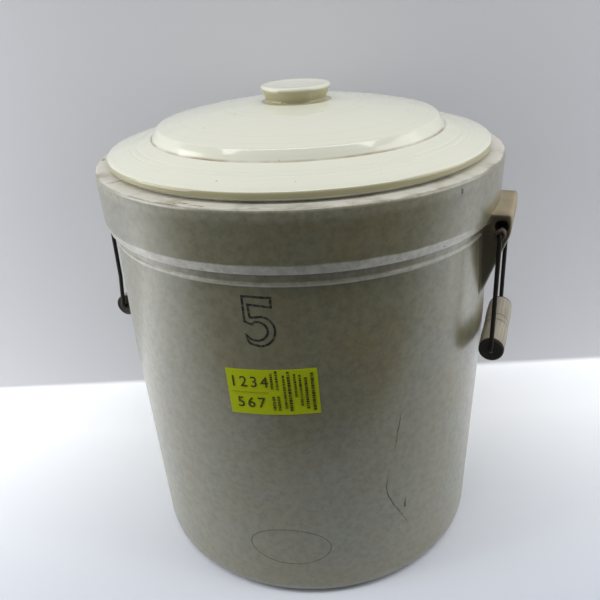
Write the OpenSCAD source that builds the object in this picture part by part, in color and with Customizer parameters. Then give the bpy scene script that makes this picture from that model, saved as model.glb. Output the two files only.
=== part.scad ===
// Lidded five-gallon stoneware crock with two swinging bail handles.
// Origin: centre of the base, on the ground. +Z is up, the handles are at +X and -X, the front is -Y.

/* [Crock] */
// Height of the crock from the ground to the top of the rim
crock_h = 355; // [300:1:420]
// Outer diameter of the rim
rim_d = 337; // [325:1:350]
// Diameter of the upright wall under the moulded bands
wall_top_d = 319.4; // [310:0.2:326]
// Diameter that the tapered wall would have at ground level
wall_foot_d = 303; // [290:1:309]
// Height at which the tapered wall turns upright
taper_h = 205; // [160:1:240]
// Thickness of the wall
wall_t = 13; // [9:0.5:16]
// Thickness of the floor
floor_t = 15; // [10:0.5:22]
// Radius of the rounded edge round the base
foot_round = 12; // [6:0.5:20]
// Radius of the inner corner between the floor and the wall
inner_round = 16; // [8:0.5:26]

/* [Collar] */
// Diameter of the open mouth
mouth_d = 298; // [290:1:302]
// Height of the thick collar under the rim
collar_h = 39; // [30:1:50]
// Outer diameter of the collar at its lower edge
collar_foot_d = 334; // [331:0.5:336]
// Height of the sloping band under the collar
bevel_h = 7.5; // [4:0.5:12]
// How far the sloping band steps in at its foot
bevel_in = 2.4; // [0.5:0.1:3.5]
// Height of the plain strip between the sloping band and the bead
cove_h = 7; // [3:0.5:9]
// Height of the thin raised bead at the top of the wall
bead_h = 3.5; // [2:0.5:6]
// How far the bead stands out of the wall
bead_out = 1.2; // [0.5:0.1:2]
// Radius of the outer edge of the rim
rim_round = 2; // [1:0.5:5]
// Radius of the inner edge of the rim
mouth_round = 1.5; // [0.5:0.1:2]

/* [Lid] */
// Diameter of the lid
lid_d = 315; // [308:1:325]
// Height of the lid's top edge above the rim
lid_edge_h = 8.2; // [8:0.1:12]
// Radius under the lid's outer edge
lid_under_round = 5.6; // [3:0.1:6]
// Radius on top of the lid's outer edge
lid_top_round = 1.6; // [0.6:0.1:2]
// Diameter of the raised dome at its foot
dome_d = 241; // [220:1:260]
// Rise of the sloping flange from the edge to the foot of the dome
flange_rise = 10; // [6:0.5:14]
// Height of the step at the foot of the dome
step_h = 8.5; // [5:0.5:12]
// Width of the rounded shoulder of the step
step_w = 8; // [5:0.5:12]
// Width of the line cut round the foot of the dome
foot_line_w = 1.2; // [0.8:0.1:2]
// Depth of the line cut round the foot of the dome
foot_line_depth = 0.8; // [0.4:0.1:1.4]
// Rise of the crown from the shoulder to the middle of the lid
crown_rise = 13.5; // [6:0.5:25]
// Thickness of the lid
lid_t = 9; // [7:0.5:12]
// Depth of the ring that drops into the mouth
ring_h = 9; // [5:0.5:16]
// Thickness of the ring that drops into the mouth
ring_t = 8; // [5:0.5:12]
// How far each side of the ring slopes in towards its foot
ring_draft = 1; // [0:0.25:2]

/* [Knob] */
// Diameter of the knob at its top edge
knob_d = 56.5; // [45:0.5:70]
// Diameter of the knob where it meets the lid
knob_foot_d = 47; // [36:0.5:52]
// Height of the knob above the middle of the crown
knob_h = 12; // [9:0.5:20]
// Radius of the knob's top edge
knob_round = 3; // [1.5:0.5:4]
// Radius of the hollow where the knob meets the lid
neck_round = 2.5; // [1:0.5:4]

/* [Ears] */
// Length of each ear along the wall
ear_l = 66; // [54:1:76]
// How far the outer face of an ear stands out beyond the widest part of the crock
ear_out = 10.5; // [9:0.5:16]
// Height of an ear's top face above the foot of the collar
ear_lift = 1; // [-4:0.5:12]
// Height of the outer face of an ear above its slope
ear_face_h = 16; // [15:0.5:24]
// Height of the slope that runs back into the wall
ear_slope_h = 54; // [40:1:70]
// How far each end of an ear draws in towards the foot of its slope
ear_draw = 9; // [0:1:14]
// Radius of the upright edges at the ends of an ear
ear_round = 3; // [1:0.5:5]
// Diameter of the hole along an ear
ear_hole_d = 10.4; // [8:0.1:11]
// Clay left between the hole and the outer face
ear_skin = 2; // [1.5:0.1:3]
// Clay left between the hole and the top face
ear_roof = 5; // [3:0.5:7]

/* [Bails] */
// Diameter of the bail wire
wire_d = 3.6; // [3:0.1:4]
// Drop from the hinge line to the middle of the grip
bail_drop = 98; // [90:0.5:120]
// Length of wire that reaches into an ear from each end
hook_l = 14; // [8:0.5:22]
// Gap between an ear's end and the arm of the bail
arm_gap = 7.2; // [5:0.1:8.5]
// Height of the slack bend in each arm above the middle of the grip
kink_rise = 31; // [24:1:45]
// Radius of the bend at the hook and at the grip, to the middle of the wire
bend_r = 3.2; // [2.6:0.1:3.4]
// Radius of the slack bend
kink_r = 22; // [12:1:30]
// Distance from the face of an end cap to the middle of the arm's foot
foot_reach = 4.1; // [4.1:0.1:6]

/* [Grips] */
// Length of the wooden grip between its end caps
grip_l = 80.6; // [76:0.2:96]
// Greatest diameter of the grip
grip_d = 20.8; // [20.4:0.1:21.4]
// Diameter of the grip next to its caps and its middle band
grip_neck_d = 20.2; // [20:0.1:20.4]
// Width of the band between the two scored rings
band_w = 8.5; // [4:0.5:14]
// Width of each scored ring
score_w = 1.6; // [0.8:0.1:2.4]
// Depth of each scored ring
score_depth = 1; // [0.5:0.1:1.5]

/* [End caps] */
// Diameter of each metal end cap
cap_d = 20; // [18:0.1:20]
// Thickness of the pressed metal
cap_t = 0.9; // [0.7:0.1:1.2]
// Length of the skirt over the end of the grip
cap_skirt = 0.9; // [0.7:0.1:3]
// Height of the rolled ridge round the face
cap_ridge = 0.5; // [0.3:0.1:0.6]

/* [Fits] */
// Radial gap between the lid's ring and the mouth
ring_clear = 2.5; // [1.5:0.1:4]
// Radial gap between the wire and the bore of the grip
bore_clear = 0.3; // [0.2:0.05:0.8]
// Radial gap between the wire and the hole in an end cap
cap_clear = 0.1; // [0.05:0.05:0.2]
// Gap between the end of the grip and the skirt of its cap
skirt_clear = 0.08; // [0.04:0.02:0.2]
// Gap between the hanging wire and the bottom of the ear's hole
hang_clear = 0.25; // [0.15:0.05:0.4]
// Least gap between a hanging grip and the wall
grip_clear = 1; // [0.8:0.1:3]

/* [Hidden] */
$fn = 96;

// Colours as the photograph shows them
GLAZE = "#A9AA98";
LID_GLAZE = "#E1E2D5";
STEEL = "#34302C";
RUST = "#4B4037";
WOOD = "#8F8470";

// Heights on the crock, from the rim down
collar_z = crock_h - collar_h;
bevel_z = collar_z - bevel_h;
bead_top_z = bevel_z - cove_h;
wall_z = bead_top_z - bead_h;
rim_r = rim_d / 2;
collar_r = collar_foot_d / 2;
bevel_r = collar_r - bevel_in;
wall_r = wall_top_d / 2;
foot_r = wall_foot_d / 2;
mouth_r = mouth_d / 2;

// Outer radius of the wall at a height: a taper, then upright
function wall_at(z) = foot_r + (wall_r - foot_r) * min(z, taper_h) / taper_h;

// Heights on the lid
lid_r = lid_d / 2;
lid_edge_z = crock_h + lid_edge_h;
dome_r = dome_d / 2;
dome_z = lid_edge_z + flange_rise;
shoulder_r = dome_r - step_w;
shoulder_z = dome_z + step_h;
crown_z = shoulder_z + crown_rise;
crown_r = (pow(shoulder_r, 2) + pow(crown_rise, 2)) / (2 * crown_rise);
ring_r = mouth_r - ring_clear;
ring_in_r = ring_r - ring_t;
knob_r = knob_d / 2;
knob_foot_r = knob_foot_d / 2;
knob_z = crown_z + knob_h;

// How far the hollow of the dome steps in from its shoulder, as a share of the lid's thickness
under_share = 0.6;

// Heights of the flange and of the crown at a radius
function flange_at(r) = lid_edge_z + flange_rise * (lid_r - r) / (lid_r - dome_r);
function crown_at(r) = crown_z - crown_r + sqrt(pow(crown_r, 2) - pow(r, 2));

// The ears and the line on which both ends of a bail hang
ear_hole_r = ear_hole_d / 2;
wire_r = wire_d / 2;
grip_r = grip_d / 2;
ear_end = ear_l / 2;
ear_top_z = collar_z + ear_lift;
ear_face_z = ear_top_z - ear_face_h;
ear_foot_z = ear_face_z - ear_slope_h;
hole_z = ear_top_z - ear_roof - ear_hole_r;
hinge_z = hole_z - ear_hole_r + wire_r + hang_clear;
grip_z = hinge_z - bail_drop;

// An ear reaches past the widest part of the crock, and far enough for the grip to hang clear of the wall
body_r = max(rim_r, collar_r, wall_r + bead_out);
hang_x = wall_at(grip_z) + grip_clear + grip_r;
ear_reach = max(body_r + ear_out, hang_x + ear_hole_r + ear_skin);
hole_x = ear_reach - ear_skin - ear_hole_r;

// How far an ear's root reaches into the wall, as a share of its thickness,
// and how far the foot of its slope runs into the wall
root_share = 0.7;
root_sink = 0.5;
ear_foot_end = ear_end - ear_draw;
ear_root_x = wall_at(ear_foot_z) - wall_t * root_share;
slope_end_x = sqrt(pow(wall_at(ear_foot_z), 2) - pow(ear_foot_end, 2)) - root_sink;

// How far a cut runs past what it cuts
margin = 1;

// Places along a bail, from its middle outward
arm_y = ear_end + arm_gap + wire_r;
hook_y = ear_end - hook_l;
cap_y = grip_l / 2;
cap_face_y = cap_y + cap_t + cap_ridge;
foot_y = cap_face_y + foot_reach;
kink_z = grip_z + kink_rise;

// A bend is a hair wider than the straight runs, and each run laps a little way into it
bend_swell = 0.02;
run_lap = 0.3;

// Radii of a grip and its caps
cap_r = cap_d / 2;
cap_bore_r = wire_r + cap_clear;
grip_bore_r = wire_r + bore_clear;
spigot_r = cap_r - cap_t - skirt_clear;
neck_r = grip_neck_d / 2;

// Small edges: the chamfer at a grip's ends, the rounded rim of a cap, and the flat outside its outer ridge
grip_chamfer = 0.4;
cap_round = 0.5;
ridge_inset = 0.6;
outer_ridge_r = cap_r - cap_t - ridge_inset;
inner_ridge_r = cap_bore_r + cap_ridge;

// Points of an arc from one angle to another
function arc(centre, r, from, to, steps = 8) =
    [for (i = [0:steps]) centre + r * [cos(from + (to - from) * i / steps),
                                       sin(from + (to - from) * i / steps)]];

// Outline of the crock wall, as radius and height
module crock_profile() {
    lean = atan((wall_r - foot_r) / taper_h);
    foot_centre = [wall_at(foot_round) - foot_round / cos(lean), foot_round];
    inner_centre = [wall_at(floor_t + inner_round) - wall_t - inner_round / cos(lean), floor_t + inner_round];
    bead_centre = [wall_r, wall_z + bead_h / 2];
    polygon(concat(
        [[0, 0]],
        arc(foot_centre, foot_round, -90, -lean),
        [[wall_r, taper_h]],
        [for (a = [-90:30:90]) bead_centre + [bead_out * cos(a), bead_h / 2 * sin(a)]],
        [[wall_r, bevel_z], [bevel_r, bevel_z], [collar_r, collar_z]],
        arc([rim_r - rim_round, crock_h - rim_round], rim_round, 0, 90, 6),
        arc([mouth_r + mouth_round, crock_h - mouth_round], mouth_round, 90, 180, 5),
        [[wall_r - wall_t, wall_z], [wall_r - wall_t, taper_h]],
        arc(inner_centre, inner_round, -lean, -90),
        [[0, floor_t]]));
}

// Outline of an ear across the wall: flat top, upright face, long slope back to the wall
module ear_profile() {
    polygon(concat(
        [[ear_root_x, ear_foot_z], [slope_end_x, ear_foot_z], [ear_reach, ear_face_z]],
        arc([ear_reach - ear_round / 2, ear_top_z - ear_round / 2], ear_round / 2, 0, 90, 4),
        [[ear_root_x, ear_top_z]]));
}

// Plan of an ear: a bar with rounded outer corners
module ear_plan() {
    corner_x = ear_reach - ear_round;
    corner_y = ear_end - ear_round;
    polygon(concat(
        [[ear_root_x, -ear_end]],
        arc([corner_x, -corner_y], ear_round, -90, 0, 5),
        arc([corner_x, corner_y], ear_round, 0, 90, 5),
        [[ear_root_x, ear_end]]));
}

// Front view of an ear: upright ends, drawing in below the bar
module ear_front() {
    polygon([[-ear_end, ear_top_z], [-ear_end, ear_face_z], [-ear_foot_end, ear_foot_z],
             [ear_foot_end, ear_foot_z], [ear_end, ear_face_z], [ear_end, ear_top_z]]);
}

module ear() {
    intersection() {
        translate([0, ear_end, 0])
            rotate([90, 0, 0])
                linear_extrude(height = ear_l)
                    ear_profile();
        translate([0, 0, ear_foot_z])
            linear_extrude(height = ear_top_z - ear_foot_z)
                ear_plan();
        rotate([90, 0, 90])
            linear_extrude(height = ear_reach)
                ear_front();
    }
}

// Crock: one fired piece, with an ear on each side and a hole along each ear
module crock() {
    color(GLAZE)
        difference() {
            union() {
                rotate_extrude($fn = 180)
                    crock_profile();
                for (side = [0, 180])
                    rotate([0, 0, side])
                        ear();
            }
            for (side = [-1, 1])
                translate([side * hole_x, ear_end + margin, hole_z])
                    rotate([90, 0, 0])
                        cylinder(h = ear_l + 2 * margin, r = ear_hole_r);
        }
}

// Outline of the lid and its knob, as radius and height
module lid_profile() {
    crown_steps = 10;
    neck_foot_r = knob_foot_r + neck_round;
    line_r = dome_r + foot_line_w;
    ring_foot_z = crock_h - ring_h;
    hollow_r = ring_in_r - ring_draft;
    under_r = shoulder_r - lid_t * under_share;
    polygon(concat(
        // knob
        [[0, knob_z]],
        arc([knob_r - knob_round, knob_z - knob_round], knob_round, 90, -20, 7),
        arc([neck_foot_r, crown_at(neck_foot_r) + neck_round], neck_round, 180, 270, 4),
        // crown, from the knob out to the shoulder
        [for (i = [1:crown_steps])
            let (r = neck_foot_r + (shoulder_r - neck_foot_r) * i / crown_steps) [r, crown_at(r)]],
        // rounded step down to the line round its foot
        [for (a = [75:-15:0]) [shoulder_r + step_w * cos(a), dome_z + step_h * sin(a)]],
        [[dome_r, dome_z - foot_line_depth], [line_r, flange_at(line_r)]],
        // flange and edge
        arc([lid_r - lid_top_round, lid_edge_z - lid_top_round], lid_top_round, 80, 0, 5),
        arc([lid_r - lid_under_round, crock_h + lid_under_round], lid_under_round, 0, -90, 6),
        // ring that drops into the mouth
        [[ring_r, crock_h], [ring_r - ring_draft, ring_foot_z], [ring_in_r, ring_foot_z]],
        // hollow underside, one lid thickness below the top
        [[hollow_r, flange_at(hollow_r) - lid_t], [dome_r, dome_z - lid_t], [under_r, shoulder_z - lid_t]],
        [for (i = [crown_steps - 1:-1:0])
            let (r = under_r * i / crown_steps) [r, crown_at(r) - lid_t]]));
}

// Lid: one fired piece with its knob
module lid() {
    color(LID_GLAZE)
        rotate_extrude($fn = 180)
            lid_profile();
}

// Straight run of wire between two points of the bail's own plane
module wire_run(a, b) {
    d = b - a;
    translate([a[0], a[1], 0])
        rotate([0, 90, atan2(d[1], d[0])])
            cylinder(h = norm(d), r = wire_r, $fn = 32);
}

// Direction of a vector in the plane, and the signed turn from one direction to the next
function heading(d) = atan2(d[1], d[0]);
function turn(a, b) = let (t = heading(b) - heading(a)) t > 180 ? t - 360 : t < -180 ? t + 360 : t;
function unit(d) = d / norm(d);

// Bend at a corner point p, with the wire coming from a and going on to b; a straight corner needs none
module wire_bend(a, p, b, r) {
    t = turn(p - a, b - p);
    least_turn = 0.05;
    start = p - unit(p - a) * r * tan(abs(t) / 2);
    side = t > 0 ? 1 : -1;
    h = heading(p - a);
    centre = start + side * r * [-sin(h), cos(h)];
    if (abs(t) > least_turn)
        translate([centre[0], centre[1], 0])
            rotate([0, 0, h - side * 90 + (side > 0 ? 0 : t)])
                rotate_extrude(angle = abs(t), $fn = 64)
                    translate([r, 0])
                        circle(r = wire_r + bend_swell, $fn = 32);
}

// One wire along corner points, each bend at its own radius
module bent_wire(points, radii) {
    n = len(points);
    // Length of straight wire that each corner's bend takes away, less the lap
    cut = [for (i = [0:n - 1])
        i == 0 || i == n - 1 ? 0
        : radii[i] * tan(abs(turn(points[i] - points[i - 1], points[i + 1] - points[i])) / 2) - run_lap];
    for (i = [0:n - 2]) {
        along = unit(points[i + 1] - points[i]);
        wire_run(points[i] + along * cut[i], points[i + 1] - along * cut[i + 1]);
    }
    for (i = [1:n - 2])
        wire_bend(points[i - 1], points[i], points[i + 1], radii[i]);
}

// Bail: hooks in both ends of the ear, arms that lean outward below a slack bend, and a straight run
// through the grip
module bail(side) {
    half = [[hook_y, hinge_z], [arm_y, hinge_z], [arm_y, kink_z], [foot_y, grip_z]];
    points = concat(half, [for (i = [3:-1:0]) [-half[i][0], half[i][1]]]);
    radii = [0, bend_r, kink_r, bend_r, bend_r, kink_r, bend_r, 0];
    color(STEEL)
        translate([side * hole_x, 0, 0])
            rotate([90, 0, 90])
                bent_wire(points, radii);
}

// Outline of half a grip, as radius and distance from its middle
module grip_profile() {
    spigot_y = cap_y - cap_skirt;
    score_y = band_w / 2;
    swell_from = score_y + score_w;
    swell_steps = 6;
    half = concat(
        [[neck_r, 0], [neck_r, score_y], [neck_r - score_depth, score_y + score_w / 2],
         [neck_r, swell_from]],
        [for (i = [1:swell_steps - 1])
            [neck_r + (grip_r - neck_r) * sin(180 * i / swell_steps),
             swell_from + (spigot_y - swell_from) * i / swell_steps]],
        [[neck_r, spigot_y], [spigot_r, spigot_y], [spigot_r, cap_y - grip_chamfer],
         [spigot_r - grip_chamfer, cap_y], [grip_bore_r, cap_y]]);
    polygon(concat(half, [for (i = [len(half) - 1:-1:1]) [half[i][0], -half[i][1]]]));
}

// Grip: turned wood with a bore for the wire
module grip(side) {
    color(WOOD)
        translate([side * hole_x, 0, grip_z])
            rotate([90, 0, 0])
                rotate_extrude($fn = 72)
                    grip_profile();
}

// Outline of an end cap, as radius and height over the end of the grip
module cap_profile() {
    difference() {
        union() {
            translate([0, -cap_skirt])
                square([cap_r - cap_round, cap_skirt + cap_t]);
            translate([0, -cap_skirt])
                square([cap_r, cap_skirt + cap_t - cap_round]);
            translate([cap_r - cap_round, cap_t - cap_round])
                circle(r = cap_round, $fn = 24);
            // rolled ridges: round the face, halfway in, and round the hole
            for (r = [outer_ridge_r, (outer_ridge_r + inner_ridge_r) / 2, inner_ridge_r])
                translate([r, cap_t])
                    circle(r = cap_ridge, $fn = 24);
        }
        translate([-margin, -cap_skirt - margin])
            square([margin + cap_bore_r, margin + cap_skirt + cap_t + cap_ridge + margin]);
        translate([-margin, -cap_skirt - margin])
            square([margin + cap_r - cap_t, margin + cap_skirt]);
    }
}

// End cap: a pressed metal cup over one end of a grip
module cap(side, end) {
    color(RUST)
        translate([side * hole_x, end * cap_y, grip_z])
            rotate([-90 * end, 0, 0])
                rotate_extrude($fn = 72)
                    cap_profile();
}

module bail_right() {
    bail(1);
}

module bail_left() {
    bail(-1);
}

module grip_right() {
    grip(1);
}

module grip_left() {
    grip(-1);
}

module cap_right_front() {
    cap(1, -1);
}

module cap_right_back() {
    cap(1, 1);
}

module cap_left_front() {
    cap(-1, -1);
}

module cap_left_back() {
    cap(-1, 1);
}

crock();
lid();
bail_right();
grip_right();
cap_right_front();
cap_right_back();
bail_left();
grip_left();
cap_left_front();
cap_left_back();
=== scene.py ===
import math

import bmesh
import bpy
from bpy.props import FloatProperty, FloatVectorProperty, IntProperty, PointerProperty
from mathutils import Matrix, Vector, noise


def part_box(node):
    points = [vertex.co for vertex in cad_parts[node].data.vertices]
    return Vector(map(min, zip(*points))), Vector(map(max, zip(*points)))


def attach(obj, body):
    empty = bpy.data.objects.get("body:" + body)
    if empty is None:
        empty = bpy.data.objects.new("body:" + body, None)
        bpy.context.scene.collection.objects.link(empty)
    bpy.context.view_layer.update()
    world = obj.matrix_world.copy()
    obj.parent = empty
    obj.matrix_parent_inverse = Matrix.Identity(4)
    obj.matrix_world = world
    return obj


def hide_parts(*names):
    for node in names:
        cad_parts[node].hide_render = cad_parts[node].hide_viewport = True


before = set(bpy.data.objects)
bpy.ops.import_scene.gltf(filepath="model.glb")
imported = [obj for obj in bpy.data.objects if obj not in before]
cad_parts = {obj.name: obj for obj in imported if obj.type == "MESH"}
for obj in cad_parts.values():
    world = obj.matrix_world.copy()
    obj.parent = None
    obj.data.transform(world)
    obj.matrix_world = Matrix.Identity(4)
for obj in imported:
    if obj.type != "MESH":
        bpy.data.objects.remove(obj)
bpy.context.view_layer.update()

bl_info = {
    "name": "Lidded stoneware crock",
    "version": (1, 0, 0),
    "blender": (4, 5, 0),
    "location": "View3D > Sidebar > Crock",
    "description": "Builds a lidded stoneware crock with two swinging bail handles around its CAD frame",
    "category": "Object",
}

MM = 0.001

# Overall sizes that come from the CAD nodes themselves
CROCK_LOW, CROCK_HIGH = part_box("crock")
LID_LOW, LID_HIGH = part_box("lid")
GRIP_LOW, GRIP_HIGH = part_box("grip_right")


def linear(code):
    """Linear colour of an sRGB hex value."""
    channels = [int(code[i:i + 2], 16) / 255 for i in (1, 3, 5)]
    return [c / 12.92 if c <= 0.04045 else ((c + 0.055) / 1.055) ** 2.4 for c in channels]


def length(name, description, millimetres):
    """Size in millimetres, kept in metres."""
    return FloatProperty(name=name, description=description, default=millimetres * MM,
                         unit="LENGTH", subtype="DISTANCE", precision=5)


def colour(name, description, code):
    """Colour of a finish, written as an sRGB hex value."""
    return FloatVectorProperty(name=name, description=description, default=linear(code),
                               size=3, min=0, max=1, subtype="COLOR")


# Sizes


class CrockSizes(bpy.types.PropertyGroup):
    rim_r: FloatProperty(name="Rim radius", description="Outer radius of the rim",
                         default=CROCK_HIGH.y, unit="LENGTH", subtype="DISTANCE", precision=5)
    height: FloatProperty(name="Height", description="Height of the rim above the ground",
                          default=CROCK_HIGH.z, unit="LENGTH", subtype="DISTANCE", precision=5)
    wall_top_r: length("Wall radius at the bands", "Radius of the upright wall under the bands", 159.7)
    wall_foot_r: length("Wall radius at the ground", "Radius that the tapered wall would have at the ground", 151.5)
    taper_h: length("Taper height", "Height at which the tapered wall turns upright", 205)
    wall_t: length("Wall thickness", "Thickness of the wall", 13)
    floor_t: length("Floor thickness", "Thickness of the floor", 15)
    foot_round: length("Foot radius", "Radius of the rounded edge round the base", 12)
    inner_round: length("Inner corner", "Radius between the floor and the wall inside", 16)
    mouth_r: length("Mouth radius", "Inner radius of the rim", 149)
    collar_h: length("Collar height", "Height of the thick collar under the rim", 39)
    collar_foot_r: length("Collar foot", "Radius of the collar at its lower edge", 167)
    bevel_h: length("Band height", "Height of the sloping band under the collar", 7.5)
    bevel_in: length("Band step", "How far the sloping band steps in at its foot", 2.4)
    strip_h: length("Strip height", "Plain strip between the sloping band and the bead", 7)
    bead_h: length("Bead height", "Height of the thin bead at the top of the wall", 3.5)
    bead_out: length("Bead relief", "How far the bead stands out of the wall", 1.2)
    rim_round: length("Rim edge", "Radius of the outer edge of the rim", 3)
    mouth_round: length("Mouth edge", "Radius of the inner edge of the rim", 1.5)
    unevenness: length("Unevenness", "How far the hand-finished wall strays from a true round", 0.3)
    chip_turn: FloatProperty(name="Chip place", description="Where the rim is chipped, round from the right",
                             default=math.radians(-50.2), unit="ROTATION", subtype="ANGLE")
    chip_r: length("Chip radius", "Radius of the ball that the chip in the rim's edge is broken along", 3.8)
    steps: IntProperty(name="Steps", description="Faces round the crock", default=256, min=64, max=384)


class LidSizes(bpy.types.PropertyGroup):
    lid_r: FloatProperty(name="Lid radius", description="Outer radius of the lid",
                         default=LID_HIGH.x, unit="LENGTH", subtype="DISTANCE", precision=5)
    knob_z: FloatProperty(name="Knob top", description="Height of the knob's top above the ground",
                          default=LID_HIGH.z, unit="LENGTH", subtype="DISTANCE", precision=5)
    edge_h: length("Edge height", "Height of the lid's top edge above the rim", 8.2)
    edge_round: length("Edge radius", "Radius on top of the lid's outer edge", 2.8)
    under_w: length("Under edge", "Width of the slope under the lid's outer edge", 5.6)
    under_h: length("Under edge rise", "Height of the slope under the lid's outer edge", 3.6)
    dome_r: length("Dome radius", "Radius of the raised dome at its foot", 120.5)
    flange_rise: length("Flange rise", "Rise of the flange from the edge to the dome", 10)
    step_h: length("Step height", "Height of the step at the foot of the dome", 8.5)
    step_w: length("Step width", "Width of the rounded shoulder of the step", 8)
    crown_rise: length("Crown rise", "Rise from the shoulder to the middle of the lid", 13.5)
    lid_t: length("Thickness", "Thickness of the lid", 9)
    ring_r: length("Ring radius", "Outer radius of the ring that drops into the mouth", 146.5)
    ring_h: length("Ring depth", "Depth of the ring that drops into the mouth", 9)
    ring_t: length("Ring thickness", "Thickness of the ring that drops into the mouth", 8)
    knob_r: length("Knob radius", "Radius of the knob at its top edge", 28.25)
    knob_foot_r: length("Knob foot", "Radius of the knob where it meets the lid", 23.5)
    knob_h: length("Knob height", "Height of the knob above the crown", 12)
    knob_round: length("Knob edge", "Radius of the knob's top edge", 3)
    neck_round: length("Knob neck", "Radius of the hollow under the knob", 2.5)
    steps: IntProperty(name="Steps", description="Faces round the lid", default=256, min=64, max=384)


class EarSizes(bpy.types.PropertyGroup):
    reach: FloatProperty(name="Reach", description="Distance from the middle of the crock to an ear's outer face",
                         default=CROCK_HIGH.x, unit="LENGTH", subtype="DISTANCE", precision=5)
    half_l: length("Half length", "Half the length of an ear along the wall", 33)
    top_z: length("Top", "Height of an ear's top face", 317)
    face_h: length("Face height", "Height of the outer face above its slope", 16)
    slope_h: length("Slope height", "Height of the slope that runs back into the wall", 54)
    draw: length("Draw", "How far each end draws in towards the foot of the slope", 9)
    edge: length("Edge radius", "Radius of the ear's edges", 2.4)
    hole_r: length("Hole radius", "Radius of the hole along an ear", 5.2)
    hole_z: length("Hole height", "Height of the hole's middle", 306.8)
    fillet: length("Fillet", "Radius of the hollow where an ear runs into the wall", 3)
    voxel: length("Grain", "Size of the cells the ear is smoothed with", 1.1)


class BailSizes(bpy.types.PropertyGroup):
    hole_x: length("Hinge distance", "Distance from the middle of the crock to the hinge line", 171.8)
    hinge_z: length("Hinge height", "Height of the line on which the wire hangs", 303.65)
    grip_z: length("Grip height", "Height of the middle of the hanging grip", 205.65)
    wire_r: length("Wire radius", "Radius of the bail wire", 1.8)
    arm_y: length("Arm distance", "Distance of each upright arm from the middle of the bail", 42)
    hook_y: length("Hook end", "Distance of each hook's end from the middle of the bail", 19)
    straight_y: length("Grip run", "Half the straight run of wire through the grip", 42.18)
    bend_r: length("Bend radius", "Radius of the bends at the hook and at the grip", 3.2)
    kink_r: length("Slack bend", "Radius of the slack bend where an arm starts to lean", 22)
    wound_y: length("Winding start", "Distance of the wound end from the middle of the bail", 35.2)
    wound_r: length("Winding radius", "Radius of the wound end of the wire", 1.25)
    wound_turns: IntProperty(name="Turns", description="Turns of the wound end of the wire", default=3)
    lean: FloatProperty(name="Lean", description="Angle at which the lower part of each arm leans outward",
                        default=math.radians(7), unit="ROTATION", subtype="ANGLE")


class GripSizes(bpy.types.PropertyGroup):
    half_l: FloatProperty(name="Half length", description="Half the length of a wooden grip",
                          default=GRIP_HIGH.y, unit="LENGTH", subtype="DISTANCE", precision=5)
    grip_r: length("Grip radius", "Greatest radius of a grip", 10.4)
    neck_r: length("Neck radius", "Radius next to the caps and the middle band", 10.1)
    bore_r: length("Bore radius", "Radius of the bore for the wire", 2.1)
    band_half: length("Middle band", "Half the width of the band between the scored rings", 4.25)
    score_w: length("Score width", "Width of each scored ring", 1.6)
    score_depth: length("Score depth", "Depth of each scored ring", 1)
    spigot_r: length("Spigot radius", "Radius of the grip's end inside its cap", 9.02)
    cap_r: length("Cap radius", "Radius of an end cap", 10)
    cap_t: length("Cap metal", "Thickness of the pressed metal", 0.9)
    cap_skirt: length("Cap skirt", "Length of the skirt over the end of the grip", 0.9)
    cap_ridge: length("Cap ridge", "Height of the rolled ridges on a cap's face", 0.5)
    cap_bore_r: length("Cap hole", "Radius of the hole in a cap", 1.9)


class MarkSizes(bpy.types.PropertyGroup):
    numeral_turn: FloatProperty(name="Numeral place", description="Where the numeral stands, round from the right",
                                default=math.radians(-81.5), unit="ROTATION", subtype="ANGLE")
    numeral_z: length("Numeral foot", "Height of the numeral's foot", 250.8)
    slant: FloatProperty(name="Slant", description="How far the numeral leans for each unit of its height", default=0.06)
    stroke: length("Stroke", "Width of the numeral's drawn outline", 1.8)
    stamp_turn: FloatProperty(name="Stamp place", description="Where the oval stamp sits, round from the right",
                              default=math.radians(-78.6), unit="ROTATION", subtype="ANGLE")
    stamp_z: length("Stamp height", "Height of the middle of the oval stamp", 56.5)
    stamp_w: length("Stamp width", "Width of the oval stamp", 69)
    stamp_h: length("Stamp depth", "Height of the oval stamp from top to bottom", 40)
    label_turn: FloatProperty(name="Label place", description="Where the paper label sits, round from the right",
                              default=math.radians(-79.8), unit="ROTATION", subtype="ANGLE")
    label_z: length("Label height", "Height of the middle of the paper label", 213.2)
    label_lean: FloatProperty(name="Label lean", description="How far the stuck label is turned out of level",
                              default=math.radians(2.8), unit="ROTATION", subtype="ANGLE")
    label_w: length("Label width", "Width of the paper label", 68.6)
    label_h: length("Label depth", "Height of the paper label from top to bottom", 38.8)
    ink_lift: length("Ink relief", "How far fired ink stands on the glaze", 0.05)
    paper_lift: length("Paper relief", "How far the stuck paper stands on the glaze", 0.15)
    sheet: length("Sheet", "Thickness of each thin layer, most of it sunk in what carries it", 0.12)


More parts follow.
